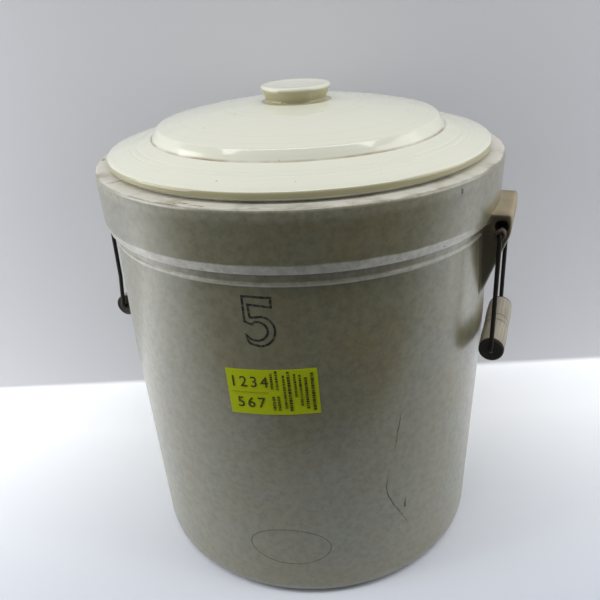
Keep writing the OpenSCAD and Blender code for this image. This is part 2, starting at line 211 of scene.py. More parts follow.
class FinishColours(bpy.types.PropertyGroup):
    glaze: colour("Glaze", "Grey-olive glaze of the wall", "#7B775B")
    glaze_cool: colour("Glaze, cool", "Cooler cloud in the glaze", "#7B7B65")
    glaze_warm: colour("Glaze, warm", "Warmer cloud in the glaze", "#7E785A")
    glaze_dark: colour("Glaze, dark", "Darker mottle in the glaze", "#5C5840")
    # Painted reflection of the pale table on the bands, over glaze worn thin on their edges
    thin_glaze_and_sheen: colour("Glaze, thin", "Pale glaze worn thin on the edges of the bands", "#C9C7B9")
    speck: colour("Iron speck", "Iron speck in the glaze", "#5B4A38")
    crack: colour("Crack", "Dirt in a crack of the glaze", "#3A3A28")
    drop: colour("Drop", "Dark drop or smear of glaze", "#4C4A30")
    clay: colour("Bare clay", "Unglazed cream clay of the rim and the foot", "#CAC7BC")
    clay_stain: colour("Stained clay", "Brown stain soaked into bare clay", "#8C7458")
    # Also used for painted shade on the ears' end faces, under their slopes and round their holes
    grime_and_shade: colour("Grime", "Rusty grime round the holes of the ears", "#4A442E")
    ear_clay: colour("Ear clay", "Tan clay of the ears", "#978E75")
    lid: colour("Lid glaze", "Pale greenish cream glaze of the lid", "#DEDFCF")
    lid_line: colour("Lid line", "Glaze pooled in the throwing lines", "#BDBDA8")
    lid_edge: colour("Lid edge", "Olive clay showing through at the lid's edge and under the knob", "#ADA886")
    ink: colour("Ink", "Blue-black ink fired under the glaze", "#26282A")
    stamp: colour("Stamp ink", "Worn blue-grey stamping ink", "#585C4F")
    paper: colour("Label paper", "Fluorescent yellow label paper", "#AEBB0A")
    paper_line: colour("Label line", "Printed line on the label", "#8A9116")
    marker: colour("Marker", "Black marker on the label", "#33361C")
    wire: colour("Wire", "Darkened steel wire", "#2B2B27")
    wire_end: colour("Wire end", "Rust on the wound end of the bail wire", "#3C2A20")
    rust: colour("Rust", "Rust on the wire and the caps", "#40362A")
    cap: colour("Cap", "Rusted pressed steel", "#3A3832")
    wood: colour("Wood", "Weathered turned wood", "#9F9889")
    wood_dark: colour("Wood grain", "Dark grain and dirt in the wood", "#797264")
    floor: colour("Floor", "Pale table top", "#F4F6F9")
    # Painted shade: the table top darkens towards the viewer
    floor_near_shaded: colour("Floor, near", "Table top towards the viewer", "#BDC2CC")
    backdrop: colour("Backdrop", "Pale grey wall", "#CBCCD0")


class ViewSizes(bpy.types.PropertyGroup):
    distance: length("Camera distance", "Level distance from the camera to the crock's axis", 574.5)
    height: length("Camera height", "Height of the camera", 486.3)
    lens: FloatProperty(name="Lens", description="Focal length of the camera in millimetres", default=40.78)
    turn: FloatProperty(name="Turn", description="How far round the crock the camera stands from the front",
                        default=math.radians(20.5), unit="ROTATION", subtype="ANGLE")
    aside: FloatProperty(name="Look aside", description="How far to the left of the axis the camera looks",
                         default=0.011, unit="ROTATION", subtype="ANGLE")
    down: FloatProperty(name="Look down", description="How far down the camera looks",
                        default=0.4457, unit="ROTATION", subtype="ANGLE")
    roll: FloatProperty(name="Roll", description="How far the camera leans to one side",
                        default=-0.0571, unit="ROTATION", subtype="ANGLE")
    wall_y: length("Wall distance", "Distance from the crock's axis to the wall behind the table", 210)
    cove: length("Cove", "Radius between the table and the wall", 6)
    table_y: length("Table front", "Distance from the crock's axis to the front edge of the table", 330)


# Making meshes


def eased(corners, steps=6):
    """Points of an outline of corners (x, y, radius), each rounded by its radius."""
    points = []
    for i, (x, y, radius) in enumerate(corners):
        here = Vector((x, y))
        if radius == 0:
            points.append(here)
            continue
        before = Vector(corners[i - 1][:2]) - here
        after = Vector(corners[(i + 1) % len(corners)][:2]) - here
        reach = radius / math.tan(before.angle(after) / 2)
        reach = min(reach, 0.49 * before.length, 0.49 * after.length)
        start = here + before.normalized() * reach
        end = here + after.normalized() * reach
        for k in range(steps + 1):
            t = k / steps
            points.append(start.lerp(here, t).lerp(here.lerp(end, t), t))
    return points


def turned(points, steps, closed=False, run=5 * MM):
    """Body turned round Z from an outline of radius and height, with no straight run longer than run."""
    bm = bmesh.new()
    corners = [bm.verts.new((p[0], 0, p[1])) for p in points]
    pairs = list(zip(corners, corners[1:]))
    if closed:
        pairs.append((corners[-1], corners[0]))
    edges = [bm.edges.new(pair) for pair in pairs]
    for edge in edges:
        cuts = int(edge.calc_length() / run)
        if cuts:
            bmesh.ops.subdivide_edges(bm, edges=[edge], cuts=cuts)
    bmesh.ops.spin(bm, geom=bm.verts[:] + bm.edges[:], cent=(0, 0, 0), axis=(0, 0, 1),
                   angle=math.tau, steps=steps, use_merge=True)
    bmesh.ops.remove_doubles(bm, verts=bm.verts, dist=MM / 1000)
    bmesh.ops.recalc_face_normals(bm, faces=bm.faces)
    return bm


def shown(bm, name, body, material, replaces=()):
    """Object of a finished mesh: smooth, with its material, riding on its body."""
    for face in bm.faces:
        face.smooth = True
    for edge in bm.edges:
        edge.smooth = edge.calc_face_angle(0) < math.radians(50)
    mesh = bpy.data.meshes.new(name)
    bm.to_mesh(mesh)
    bm.free()
    mesh.materials.append(material)
    piece = bpy.data.objects.new(name, mesh)
    bpy.context.scene.collection.objects.link(piece)
    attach(piece, body)
    if replaces:
        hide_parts(*replaces)
    return piece


def body_at(z):
    """Outer radius of the crock at a height: taper, upright wall, strip, sloping band, collar."""
    s = bpy.context.scene.crock_sizes
    collar_z = s.height - s.collar_h
    if z < collar_z - s.bevel_h:
        return s.wall_foot_r + (s.wall_top_r - s.wall_foot_r) * min(z / s.taper_h, 1)
    if z < collar_z:
        return s.collar_foot_r - s.bevel_in * (collar_z - z) / s.bevel_h
    return s.collar_foot_r + (s.rim_r - s.collar_foot_r) * (z - collar_z) / s.collar_h


def settled(place):
    """Place on the hand-finished wall, a little inside the true round."""
    out = Vector((place.x, place.y, 0)).normalized()
    return place - out * bpy.context.scene.crock_sizes.unevenness * abs(noise.noise(place / 0.07))


def wrapped(bm, turn, z, lift):
    """Bends a flat drawing, x to the right and y up, round the wall and gives it the thickness of a sheet."""
    sheet = bpy.context.scene.mark_sizes.sheet
    across = [v.co.x for v in bm.verts]
    for k in range(math.ceil(min(across) / (2.5 * MM)), math.ceil(max(across) / (2.5 * MM))):
        bmesh.ops.bisect_plane(bm, geom=bm.verts[:] + bm.edges[:] + bm.faces[:], dist=MM / 1e5,
                               plane_co=(k * 2.5 * MM, 0, 0), plane_no=(1, 0, 0))
    for vert in bm.verts:
        x, y, _ = vert.co
        angle = turn + x / body_at(z)
        out = Vector((math.cos(angle), math.sin(angle), 0))
        vert.co = settled(out * body_at(z + y) + Vector((0, 0, z + y))) + out * lift
    bmesh.ops.recalc_face_normals(bm, faces=bm.faces)
    if sum(f.normal.dot(Vector((f.calc_center_median().x, f.calc_center_median().y, 0))) for f in bm.faces) < 0:
        bmesh.ops.reverse_faces(bm, faces=bm.faces)
    bmesh.ops.solidify(bm, geom=bm.faces, thickness=sheet)
    bmesh.ops.recalc_face_normals(bm, faces=bm.faces)
    return bm


def outlined(corners, width):
    """Flat band of a width just inside a closed outline."""
    bm = bmesh.new()
    face = bm.faces.new([bm.verts.new((x, y, 0)) for x, y in corners])
    bm.normal_update()
    bmesh.ops.inset_region(bm, faces=[face], thickness=width, use_even_offset=True, use_boundary=True)
    bmesh.ops.delete(bm, geom=[face], context="FACES")
    return bm


def streak(points, width):
    """Flat ribbon along points (x, y), thinning out towards both ends."""
    bm = bmesh.new()
    verts = [bm.verts.new((x, y, 0)) for x, y in points]
    edges = [bm.edges.new(pair) for pair in zip(verts, verts[1:])]
    bmesh.ops.subdivide_edges(bm, edges=edges, cuts=3)
    low = min(v.co.y for v in bm.verts)
    high = max(v.co.y for v in bm.verts)
    for vert in bm.verts:
        vert.co.x += 0.8 * MM * noise.noise(vert.co / 0.004)
    grown = bmesh.ops.extrude_edge_only(bm, edges=bm.edges[:])
    for vert in grown["geom"]:
        if isinstance(vert, bmesh.types.BMVert):
            part = (vert.co.y - low) / (high - low)
            vert.co.x += width * (0.25 + 0.75 * math.sin(math.pi * min(max(part, 0), 1)))
    return bm


def chip_place():
    """Middle of the ball that the chip is broken along, on the rim's outer edge."""
    s = bpy.context.scene.crock_sizes
    out = s.rim_r + 0.56 * s.chip_r
    return Vector((out * math.cos(s.chip_turn), out * math.sin(s.chip_turn), s.height + 0.56 * s.chip_r))


# Finishes


def add_node(tree, kind, inputs=None, **settings):
    """Adds one node to a tree with its settings, its input values and its links."""
    node = tree.nodes.new(kind)
    for name, value in settings.items():
        setattr(node, name, value)
    for socket, value in (inputs or {}).items():
        if isinstance(value, bpy.types.NodeSocket):
            tree.links.new(value, node.inputs[socket])
        else:
            node.inputs[socket].default_value = value
    return node


def new_finish(name):
    """Empty material and its output: tree, shader and object coordinates."""
    material = bpy.data.materials.new(name)
    material.use_nodes = True
    tree = material.node_tree
    tree.nodes.clear()
    shader = add_node(tree, "ShaderNodeBsdfPrincipled")
    add_node(tree, "ShaderNodeOutputMaterial", {"Surface": shader.outputs[0]})
    place = add_node(tree, "ShaderNodeTexCoord").outputs["Object"]
    return material, tree, shader, place


def rgba(value):
    """Colour with full alpha."""
    return (*value, 1)


def stoneware_glaze():
    """Clear grey-olive salt glaze over cream stoneware clay, bare on the rim and the foot: deep gloss over clouds."""
    name = "grey_stoneware_glaze"
    if name in bpy.data.materials:
        return bpy.data.materials[name]
    tints = bpy.context.scene.finish_colours
    sizes = bpy.context.scene.crock_sizes
    material, tree, shader, place = new_finish(name)
    # Clouds 50 mm wide where the glaze ran thicker or thinner, and mottling 6 mm wide
    cloud = add_node(tree, "ShaderNodeTexNoise", {"Vector": place, "Scale": 1 / 0.05, "Detail": 5, "Roughness": 0.65})
    mottle = add_node(tree, "ShaderNodeTexNoise", {"Vector": place, "Scale": 1 / 0.006, "Detail": 5, "Roughness": 0.7})
    warm = add_node(tree, "ShaderNodeMapRange", {"Value": cloud.outputs[0], "From Min": 0.38, "From Max": 0.62})
    base = add_node(tree, "ShaderNodeMix", {0: warm.outputs[0], 6: rgba(tints.glaze_cool),
                                            7: rgba(tints.glaze_warm)}, data_type="RGBA")
    soft = add_node(tree, "ShaderNodeMapRange", {"Value": mottle.outputs[0], "From Min": 0.4, "From Max": 0.65,
                                                 "To Max": 0.55})
    body = add_node(tree, "ShaderNodeMix", {0: soft.outputs[0], 6: base.outputs[2],
                                            7: rgba(tints.glaze_dark)}, data_type="RGBA")
    spot = add_node(tree, "ShaderNodeSeparateXYZ", {0: place})
    # Painted reflection of the pale table, over glaze that runs thin: pale on the top of the collar, on the sloping
    # band and on the bead, with painted light on the plain strip between band and bead
    wave = add_node(tree, "ShaderNodeTexNoise", {"Vector": place, "Scale": 1 / 0.02, "Detail": 3})
    line = add_node(tree, "ShaderNodeMath", {0: wave.outputs[0], 1: 2.4 * MM, 2: spot.outputs[2]},
                    operation="MULTIPLY_ADD")
    collar_z = sizes.height - sizes.collar_h
    bead_z = collar_z - sizes.bevel_h - sizes.strip_h - sizes.bead_h / 2
    pale = add_node(tree, "ShaderNodeMapRange", {"Value": line.outputs[0], "From Min": sizes.height - 9 * MM,
                                                 "From Max": sizes.height - 5 * MM, "To Max": 0.2})
    edge = pale
    strip_z = collar_z - sizes.bevel_h - sizes.strip_h / 2
    ragged = add_node(tree, "ShaderNodeMath", {0: wave.outputs[0], 1: 1.6 * MM, 2: spot.outputs[2]},
                      operation="MULTIPLY_ADD")
    for middle, half, most in ((collar_z - sizes.bevel_h / 2, sizes.bevel_h / 2, 0.85),
                               (strip_z, sizes.strip_h / 2, 0.3), (bead_z, sizes.bead_h / 2, 0.7)):
        off = add_node(tree, "ShaderNodeMath", {0: ragged.outputs[0], 1: middle + 0.8 * MM}, operation="SUBTRACT")
        off = add_node(tree, "ShaderNodeMath", {0: off.outputs[0]}, operation="ABSOLUTE")
        band = add_node(tree, "ShaderNodeMapRange", {"Value": off.outputs[0], "From Min": half - 0.7 * MM,
                                                     "From Max": half + 0.7 * MM, "To Min": most, "To Max": 0})
        edge = add_node(tree, "ShaderNodeMath", {0: edge.outputs[0], 1: band.outputs[0]}, operation="MAXIMUM")
    # The painted reflection on the pale bands is patchy, and runs out before it reaches the ears
    patch = add_node(tree, "ShaderNodeMapRange", {"Value": mottle.outputs[0], "From Min": 0.35, "From Max": 0.6,
                                                  "To Min": 1, "To Max": 0.6})
    across = add_node(tree, "ShaderNodeMath", {0: spot.outputs[0]}, operation="ABSOLUTE")
    clear = add_node(tree, "ShaderNodeMapRange", {"Value": across.outputs[0], "From Min": 154 * MM,
                                                  "From Max": 162 * MM, "To Min": 1, "To Max": 0.15})
    edge = add_node(tree, "ShaderNodeMath", {0: edge.outputs[0], 1: patch.outputs[0]}, operation="MULTIPLY")
    edge = add_node(tree, "ShaderNodeMath", {0: edge.outputs[0], 1: clear.outputs[0]}, operation="MULTIPLY")
    # The inside is glazed all over
    level = add_node(tree, "ShaderNodeCombineXYZ", {0: spot.outputs[0], 1: spot.outputs[1]})
    out = add_node(tree, "ShaderNodeVectorMath", {0: level.outputs[0]}, operation="LENGTH")
    outer = add_node(tree, "ShaderNodeMapRange", {"Value": out.outputs["Value"], "From Min": sizes.mouth_r + 3 * MM,
                                                  "From Max": sizes.mouth_r + 5 * MM})
    edge = add_node(tree, "ShaderNodeMath", {0: edge.outputs[0], 1: outer.outputs[0]}, operation="MULTIPLY")
    # Painted reflection and thin glaze mixed into the glaze colour
    thin = add_node(tree, "ShaderNodeMix", {0: edge.outputs[0], 6: body.outputs[2], 7: rgba(tints.thin_glaze_and_sheen)},
                    data_type="RGBA")
    # Iron specks under 1 mm wide, about one to each 20 mm
    cell = add_node(tree, "ShaderNodeTexVoronoi", {"Vector": place, "Scale": 1 / 0.02})
    dot = add_node(tree, "ShaderNodeMapRange", {"Value": cell.outputs["Distance"], "From Min": 0.01,
                                                "From Max": 0.04, "To Min": 0.6, "To Max": 0})
    specked = add_node(tree, "ShaderNodeMix", {0: dot.outputs[0], 6: thin.outputs[2],
                                               7: rgba(tints.speck)}, data_type="RGBA")
    # Bare clay above the glaze line on the rim, below it at the foot and in the chip
    rim = add_node(tree, "ShaderNodeMapRange", {"Value": line.outputs[0], "From Min": sizes.height + 0.4 * MM,
                                                "From Max": sizes.height + 1.2 * MM})
    foot = add_node(tree, "ShaderNodeMapRange", {"Value": line.outputs[0], "From Min": 3 * MM,
                                                 "From Max": 3.6 * MM, "To Min": 1, "To Max": 0})
    broken = add_node(tree, "ShaderNodeVectorMath", {0: place, 1: chip_place()}, operation="DISTANCE")
    chip = add_node(tree, "ShaderNodeMapRange", {"Value": broken.outputs["Value"], "From Min": sizes.chip_r,
                                                 "From Max": sizes.chip_r + 0.6 * MM, "To Min": 1, "To Max": 0})
    bare = add_node(tree, "ShaderNodeMath", {0: rim.outputs[0], 1: foot.outputs[0]}, operation="MAXIMUM")
    bare = add_node(tree, "ShaderNodeMath", {0: bare.outputs[0], 1: chip.outputs[0]}, operation="MAXIMUM")
    stain = add_node(tree, "ShaderNodeTexNoise", {"Vector": place, "Scale": 1 / 0.03, "Detail": 6, "Roughness": 0.7})
    stained = add_node(tree, "ShaderNodeMapRange", {"Value": stain.outputs[0], "From Min": 0.58, "From Max": 0.75,
                                                    "To Max": 0.6})
    clay = add_node(tree, "ShaderNodeMix", {0: stained.outputs[0], 6: rgba(tints.clay),
                                            7: rgba(tints.clay_stain)}, data_type="RGBA")
    final = add_node(tree, "ShaderNodeMix", {0: bare.outputs[0], 6: specked.outputs[2],
                                             7: clay.outputs[2]}, data_type="RGBA")
    tree.links.new(final.outputs[2], shader.inputs["Base Color"])
    gloss = add_node(tree, "ShaderNodeMapRange", {"Value": mottle.outputs[0], "To Min": 0.26, "To Max": 0.38})
    rough = add_node(tree, "ShaderNodeMix", {0: bare.outputs[0], 2: gloss.outputs[0], 3: 0.85})
    tree.links.new(rough.outputs[0], shader.inputs["Roughness"])
    shader.inputs["IOR"].default_value = 1.6
    shader.inputs["Coat Weight"].default_value = 0.7
    shader.inputs["Coat Roughness"].default_value = 0.27
    # Orange peel 6 mm wide in the fired glaze
    peel = add_node(tree, "ShaderNodeTexNoise", {"Vector": place, "Scale": 1 / 0.006, "Detail": 2})
    bump = add_node(tree, "ShaderNodeBump", {"Height": peel.outputs[0], "Strength": 0.25, "Distance": 0.1 * MM})
    tree.links.new(bump.outputs[0], shader.inputs["Normal"])
    return material


def ear_clay():
    """Tan stoneware clay pressed by hand, dry and stained on top and glazed on the slope below, with painted shade on
    the end faces, under the slope and round the holes.
    """
    name = "tan_stoneware_clay"
    if name in bpy.data.materials:
        return bpy.data.materials[name]
    scene = bpy.context.scene
    tints = scene.finish_colours
    material, tree, shader, place = new_finish(name)
    stain = add_node(tree, "ShaderNodeTexNoise", {"Vector": place, "Scale": 1 / 0.012, "Detail": 6, "Roughness": 0.7})
    stained = add_node(tree, "ShaderNodeMapRange", {"Value": stain.outputs[0], "From Min": 0.4, "From Max": 0.75,
                                                    "To Max": 0.7})
    clay = add_node(tree, "ShaderNodeMix", {0: stained.outputs[0], 6: rgba(tints.ear_clay),
                                            7: rgba(tints.clay_stain)}, data_type="RGBA")
    spot = add_node(tree, "ShaderNodeSeparateXYZ", {0: place})
    line = add_node(tree, "ShaderNodeMath", {0: stain.outputs[0], 1: 12 * MM, 2: spot.outputs[2]},
                    operation="MULTIPLY_ADD")
    level = scene.ear_sizes.top_z - scene.ear_sizes.face_h
    glazed = add_node(tree, "ShaderNodeMapRange", {"Value": line.outputs[0], "From Min": level + 2 * MM,
                                                   "From Max": level + 6 * MM, "To Min": 1, "To Max": 0})
    # The glaze on the slope is mottled as on the wall
    mottle = add_node(tree, "ShaderNodeTexNoise", {"Vector": place, "Scale": 1 / 0.006, "Detail": 5, "Roughness": 0.7})
    soft = add_node(tree, "ShaderNodeMapRange", {"Value": mottle.outputs[0], "From Min": 0.4, "From Max": 0.65,
                                                 "To Max": 0.55})
    glaze = add_node(tree, "ShaderNodeMix", {0: soft.outputs[0], 6: rgba(tints.glaze_warm),
                                             7: rgba(tints.glaze_dark)}, data_type="RGBA")
    body = add_node(tree, "ShaderNodeMix", {0: glazed.outputs[0], 6: clay.outputs[2], 7: glaze.outputs[2]},
                    data_type="RGBA")
    # Rust and dirt rubbed in by the wire round each end of the hole, together with painted shade there
    side = add_node(tree, "ShaderNodeVectorMath", {0: place}, operation="ABSOLUTE")
    off = add_node(tree, "ShaderNodeVectorMath", {0: side.outputs[0], 1: (scene.bail_sizes.hole_x, scene.ear_sizes.half_l,
                                                                         scene.ear_sizes.hole_z)}, operation="DISTANCE")
    grime_and_shade_mask = add_node(tree, "ShaderNodeMapRange", {"Value": off.outputs["Value"], "From Min": scene.ear_sizes.hole_r,
                                                  "From Max": 2.6 * scene.ear_sizes.hole_r, "To Min": 0.85, "To Max": 0})
    # Painted shade on the end faces, which face along the wall, and a little under the slope
    facing = add_node(tree, "ShaderNodeTexCoord")
    facing = add_node(tree, "ShaderNodeSeparateXYZ", {0: facing.outputs["Normal"]})
    turned_away = add_node(tree, "ShaderNodeMath", {0: facing.outputs[1]}, operation="ABSOLUTE")
    end = add_node(tree, "ShaderNodeMapRange", {"Value": turned_away.outputs[0], "From Min": 0.55, "From Max": 0.85,
                                                "To Max": 0.8})
    slope = add_node(tree, "ShaderNodeMapRange", {"Value": facing.outputs[2], "From Min": -0.35, "From Max": -0.1,
                                                  "To Min": 0.12, "To Max": 0})
    end = add_node(tree, "ShaderNodeMath", {0: end.outputs[0], 1: slope.outputs[0]}, operation="MAXIMUM")
    grime_and_shade_mask = add_node(tree, "ShaderNodeMath", {0: grime_and_shade_mask.outputs[0], 1: end.outputs[0]}, operation="MAXIMUM")
    body = add_node(tree, "ShaderNodeMix", {0: grime_and_shade_mask.outputs[0], 6: body.outputs[2], 7: rgba(tints.grime_and_shade)},
                    data_type="RGBA")
    tree.links.new(body.outputs[2], shader.inputs["Base Color"])
    rough = add_node(tree, "ShaderNodeMapRange", {"Value": glazed.outputs[0], "To Min": 0.7, "To Max": 0.28})
    tree.links.new(rough.outputs[0], shader.inputs["Roughness"])
    # Grit about 1 mm across
    grit = add_node(tree, "ShaderNodeTexNoise", {"Vector": place, "Scale": 1 / 0.0012, "Detail": 3})
    bump = add_node(tree, "ShaderNodeBump", {"Height": grit.outputs[0], "Strength": 0.3, "Distance": 0.12 * MM})
    tree.links.new(bump.outputs[0], shader.inputs["Normal"])
    return material


def thin_layer(name, tint, under, rough, share, bend=1.5):
    """Thin layer of ink, dirt or paper, worn so that what lies under it shows in spots 2 mm wide."""
    if name in bpy.data.materials:
        return bpy.data.materials[name]
    material, tree, shader, place = new_finish(name)
    patch = add_node(tree, "ShaderNodeTexNoise", {"Vector": place, "Scale": 1 / 0.002, "Detail": 4})
    worn = add_node(tree, "ShaderNodeMapRange", {"Value": patch.outputs[0], "From Min": 0.45, "From Max": 0.65,
                                                 "To Max": share})
    body = add_node(tree, "ShaderNodeMix", {0: worn.outputs[0], 6: rgba(tint), 7: rgba(under)}, data_type="RGBA")
    tree.links.new(body.outputs[2], shader.inputs["Base Color"])
    shader.inputs["Roughness"].default_value = rough
    shader.inputs["IOR"].default_value = bend
    return material


def lid_glaze():
    """Pale gloss glaze on a turned lid: pooled in its turning lines, pitted, and burnt thin at its edge."""
    scene = bpy.context.scene
    tints = scene.finish_colours
    sizes = scene.lid_sizes
    material, tree, shader, place = new_finish("cream_lid_glaze")
    spot = add_node(tree, "ShaderNodeSeparateXYZ", {0: place})
    flat = add_node(tree, "ShaderNodeCombineXYZ", {0: spot.outputs[0], 1: spot.outputs[1]})
    radius = add_node(tree, "ShaderNodeVectorMath", {0: flat.outputs[0]}, operation="LENGTH")
    drift = add_node(tree, "ShaderNodeTexNoise", {"Vector": place, "Scale": 1 / 0.06, "Detail": 2})
    ring = add_node(tree, "ShaderNodeMath", {0: drift.outputs[0], 1: 3 * MM, 2: radius.outputs["Value"]},
                    operation="MULTIPLY_ADD")
    # Turning lines about 4 mm apart
    lines = add_node(tree, "ShaderNodeTexNoise", {"W": ring.outputs[0], "Scale": 1 / 0.004, "Detail": 2},
                     noise_dimensions="1D")
    pooled = add_node(tree, "ShaderNodeMapRange", {"Value": lines.outputs[0], "From Min": 0.55, "From Max": 0.8,
                                                   "To Max": 0.12})
    body = add_node(tree, "ShaderNodeMix", {0: pooled.outputs[0], 6: rgba(tints.lid),
                                            7: rgba(tints.lid_line)}, data_type="RGBA")
    # Pits about 1 mm wide, about one to each 20 mm
    cell = add_node(tree, "ShaderNodeTexVoronoi", {"Vector": place, "Scale": 1 / 0.02})
    pit = add_node(tree, "ShaderNodeMapRange", {"Value": cell.outputs["Distance"], "From Min": 0.02,
                                                "From Max": 0.05, "To Min": 0.7, "To Max": 0})
    pitted = add_node(tree, "ShaderNodeMix", {0: pit.outputs[0], 6: body.outputs[2], 7: rgba(tints.speck)},
                      data_type="RGBA")
    # Brown dirt lodged in the groove at the foot of the dome
    groove = add_node(tree, "ShaderNodeMath", {0: radius.outputs["Value"], 1: sizes.dome_r}, operation="SUBTRACT")
    groove = add_node(tree, "ShaderNodeMath", {0: groove.outputs[0]}, operation="ABSOLUTE")
    lodged = add_node(tree, "ShaderNodeMapRange", {"Value": groove.outputs[0], "From Min": 0.2 * MM,
                                                   "From Max": 0.9 * MM, "To Min": 1, "To Max": 0})
    dirt = add_node(tree, "ShaderNodeTexNoise", {"Vector": place, "Scale": 1 / 0.03, "Detail": 2})
    dirty = add_node(tree, "ShaderNodeMapRange", {"Value": dirt.outputs[0], "From Min": 0.35, "From Max": 0.6,
                                                  "To Min": 0.15, "To Max": 0.75})
    lodged = add_node(tree, "ShaderNodeMath", {0: lodged.outputs[0], 1: dirty.outputs[0]}, operation="MULTIPLY")
    pitted = add_node(tree, "ShaderNodeMix", {0: lodged.outputs[0], 6: pitted.outputs[2],
                                              7: rgba(tints.clay_stain)}, data_type="RGBA")
    # Olive clay where the glaze drew back from the rim's side and from the side of the knob
    outer = add_node(tree, "ShaderNodeMapRange", {"Value": radius.outputs["Value"],
                                                  "From Min": sizes.lid_r - 0.9 * MM, "From Max": sizes.lid_r - 0.3 * MM})
    knob_low = add_node(tree, "ShaderNodeMapRange", {"Value": spot.outputs[2], "From Min": sizes.knob_z - 3.2 * MM,
                                                     "From Max": sizes.knob_z - 1.6 * MM, "To Min": 1, "To Max": 0})
    knob_in = add_node(tree, "ShaderNodeMapRange", {"Value": radius.outputs["Value"], "From Min": sizes.knob_r,
                                                    "From Max": sizes.knob_r + MM, "To Min": 1, "To Max": 0})
    knob = add_node(tree, "ShaderNodeMath", {0: knob_low.outputs[0], 1: knob_in.outputs[0]}, operation="MULTIPLY")
    worn = add_node(tree, "ShaderNodeMath", {0: outer.outputs[0], 1: knob.outputs[0]}, operation="MAXIMUM")
    final = add_node(tree, "ShaderNodeMix", {0: worn.outputs[0], 6: pitted.outputs[2], 7: rgba(tints.lid_edge)},
                     data_type="RGBA")
    tree.links.new(final.outputs[2], shader.inputs["Base Color"])
    shader.inputs["Roughness"].default_value = 0.11
    shader.inputs["IOR"].default_value = 1.52
    # Ripples 25 mm long and 0.1 mm deep bend the highlights, with the turning lines on them
    ripple = add_node(tree, "ShaderNodeTexNoise", {"Vector": place, "Scale": 1 / 0.025, "Detail": 1})
    rise = add_node(tree, "ShaderNodeMath", {0: lines.outputs[0], 1: 0.06, 2: ripple.outputs[0]},
                    operation="MULTIPLY_ADD")
    bump = add_node(tree, "ShaderNodeBump", {"Height": rise.outputs[0], "Strength": 0.6, "Distance": 0.45 * MM})
    tree.links.new(bump.outputs[0], shader.inputs["Normal"])
    return material


def rusted_steel(name, tint, metallic):
    """Old steel: dark, pitted and patched with rust."""
    if name in bpy.data.materials:
        return bpy.data.materials[name]
    tints = bpy.context.scene.finish_colours
    material, tree, shader, place = new_finish(name)
    patch = add_node(tree, "ShaderNodeTexNoise", {"Vector": place, "Scale": 1 / 0.006, "Detail": 5, "Roughness": 0.7})
    rusty = add_node(tree, "ShaderNodeMapRange", {"Value": patch.outputs[0], "From Min": 0.45, "From Max": 0.7})
    body = add_node(tree, "ShaderNodeMix", {0: rusty.outputs[0], 6: rgba(tint), 7: rgba(tints.rust)},
                    data_type="RGBA")
    tree.links.new(body.outputs[2], shader.inputs["Base Color"])
    shader.inputs["Metallic"].default_value = metallic
    rough = add_node(tree, "ShaderNodeMapRange", {"Value": patch.outputs[0], "To Min": 0.4, "To Max": 0.75})
    tree.links.new(rough.outputs[0], shader.inputs["Roughness"])
    pit = add_node(tree, "ShaderNodeTexNoise", {"Vector": place, "Scale": 1 / 0.0009, "Detail": 3})
    bump = add_node(tree, "ShaderNodeBump", {"Height": pit.outputs[0], "Strength": 0.5, "Distance": 0.12 * MM})
    tree.links.new(bump.outputs[0], shader.inputs["Normal"])
    return material


def weathered_wood():
    """Turned hardwood left outdoors: grey, with raised grain along the grip."""
    name = "weathered_hardwood"
    if name in bpy.data.materials:
        return bpy.data.materials[name]
    tints = bpy.context.scene.finish_colours
    material, tree, shader, place = new_finish(name)
    along = add_node(tree, "ShaderNodeMapping", {"Vector": place, "Scale": (1 / 0.0016, 1 / 0.03, 1 / 0.0016)})
    grain = add_node(tree, "ShaderNodeTexNoise", {"Vector": along.outputs[0], "Scale": 1, "Detail": 5,
                                                  "Roughness": 0.65})
    dark = add_node(tree, "ShaderNodeMapRange", {"Value": grain.outputs[0], "From Min": 0.4, "From Max": 0.75})
    body = add_node(tree, "ShaderNodeMix", {0: dark.outputs[0], 6: rgba(tints.wood), 7: rgba(tints.wood_dark)},
                    data_type="RGBA")
    # Darker in the scored rings, found by the distance from the grip's axis
    scene = bpy.context.scene
    side = add_node(tree, "ShaderNodeVectorMath", {0: place}, operation="ABSOLUTE")
    off = add_node(tree, "ShaderNodeVectorMath", {0: side.outputs[0], 1: (scene.bail_sizes.hole_x, 0,
                                                                         scene.bail_sizes.grip_z)}, operation="SUBTRACT")
    level = add_node(tree, "ShaderNodeVectorMath", {0: off.outputs[0], 1: (1, 0, 1)}, operation="MULTIPLY")
    radius = add_node(tree, "ShaderNodeVectorMath", {0: level.outputs[0]}, operation="LENGTH")
    neck = scene.grip_sizes.neck_r
    cut = add_node(tree, "ShaderNodeMapRange", {"Value": radius.outputs["Value"], "From Min": neck - 0.6 * MM,
                                                "From Max": neck - 0.2 * MM, "To Min": 0.8, "To Max": 0})
    body = add_node(tree, "ShaderNodeMix", {0: cut.outputs[0], 6: body.outputs[2], 7: rgba(tints.grime_and_shade)},
                    data_type="RGBA")
    tree.links.new(body.outputs[2], shader.inputs["Base Color"])
    shader.inputs["Roughness"].default_value = 0.7
    bump = add_node(tree, "ShaderNodeBump", {"Height": grain.outputs[0], "Strength": 0.5, "Distance": 0.3 * MM})
    tree.links.new(bump.outputs[0], shader.inputs["Normal"])
    return material


# Pieces


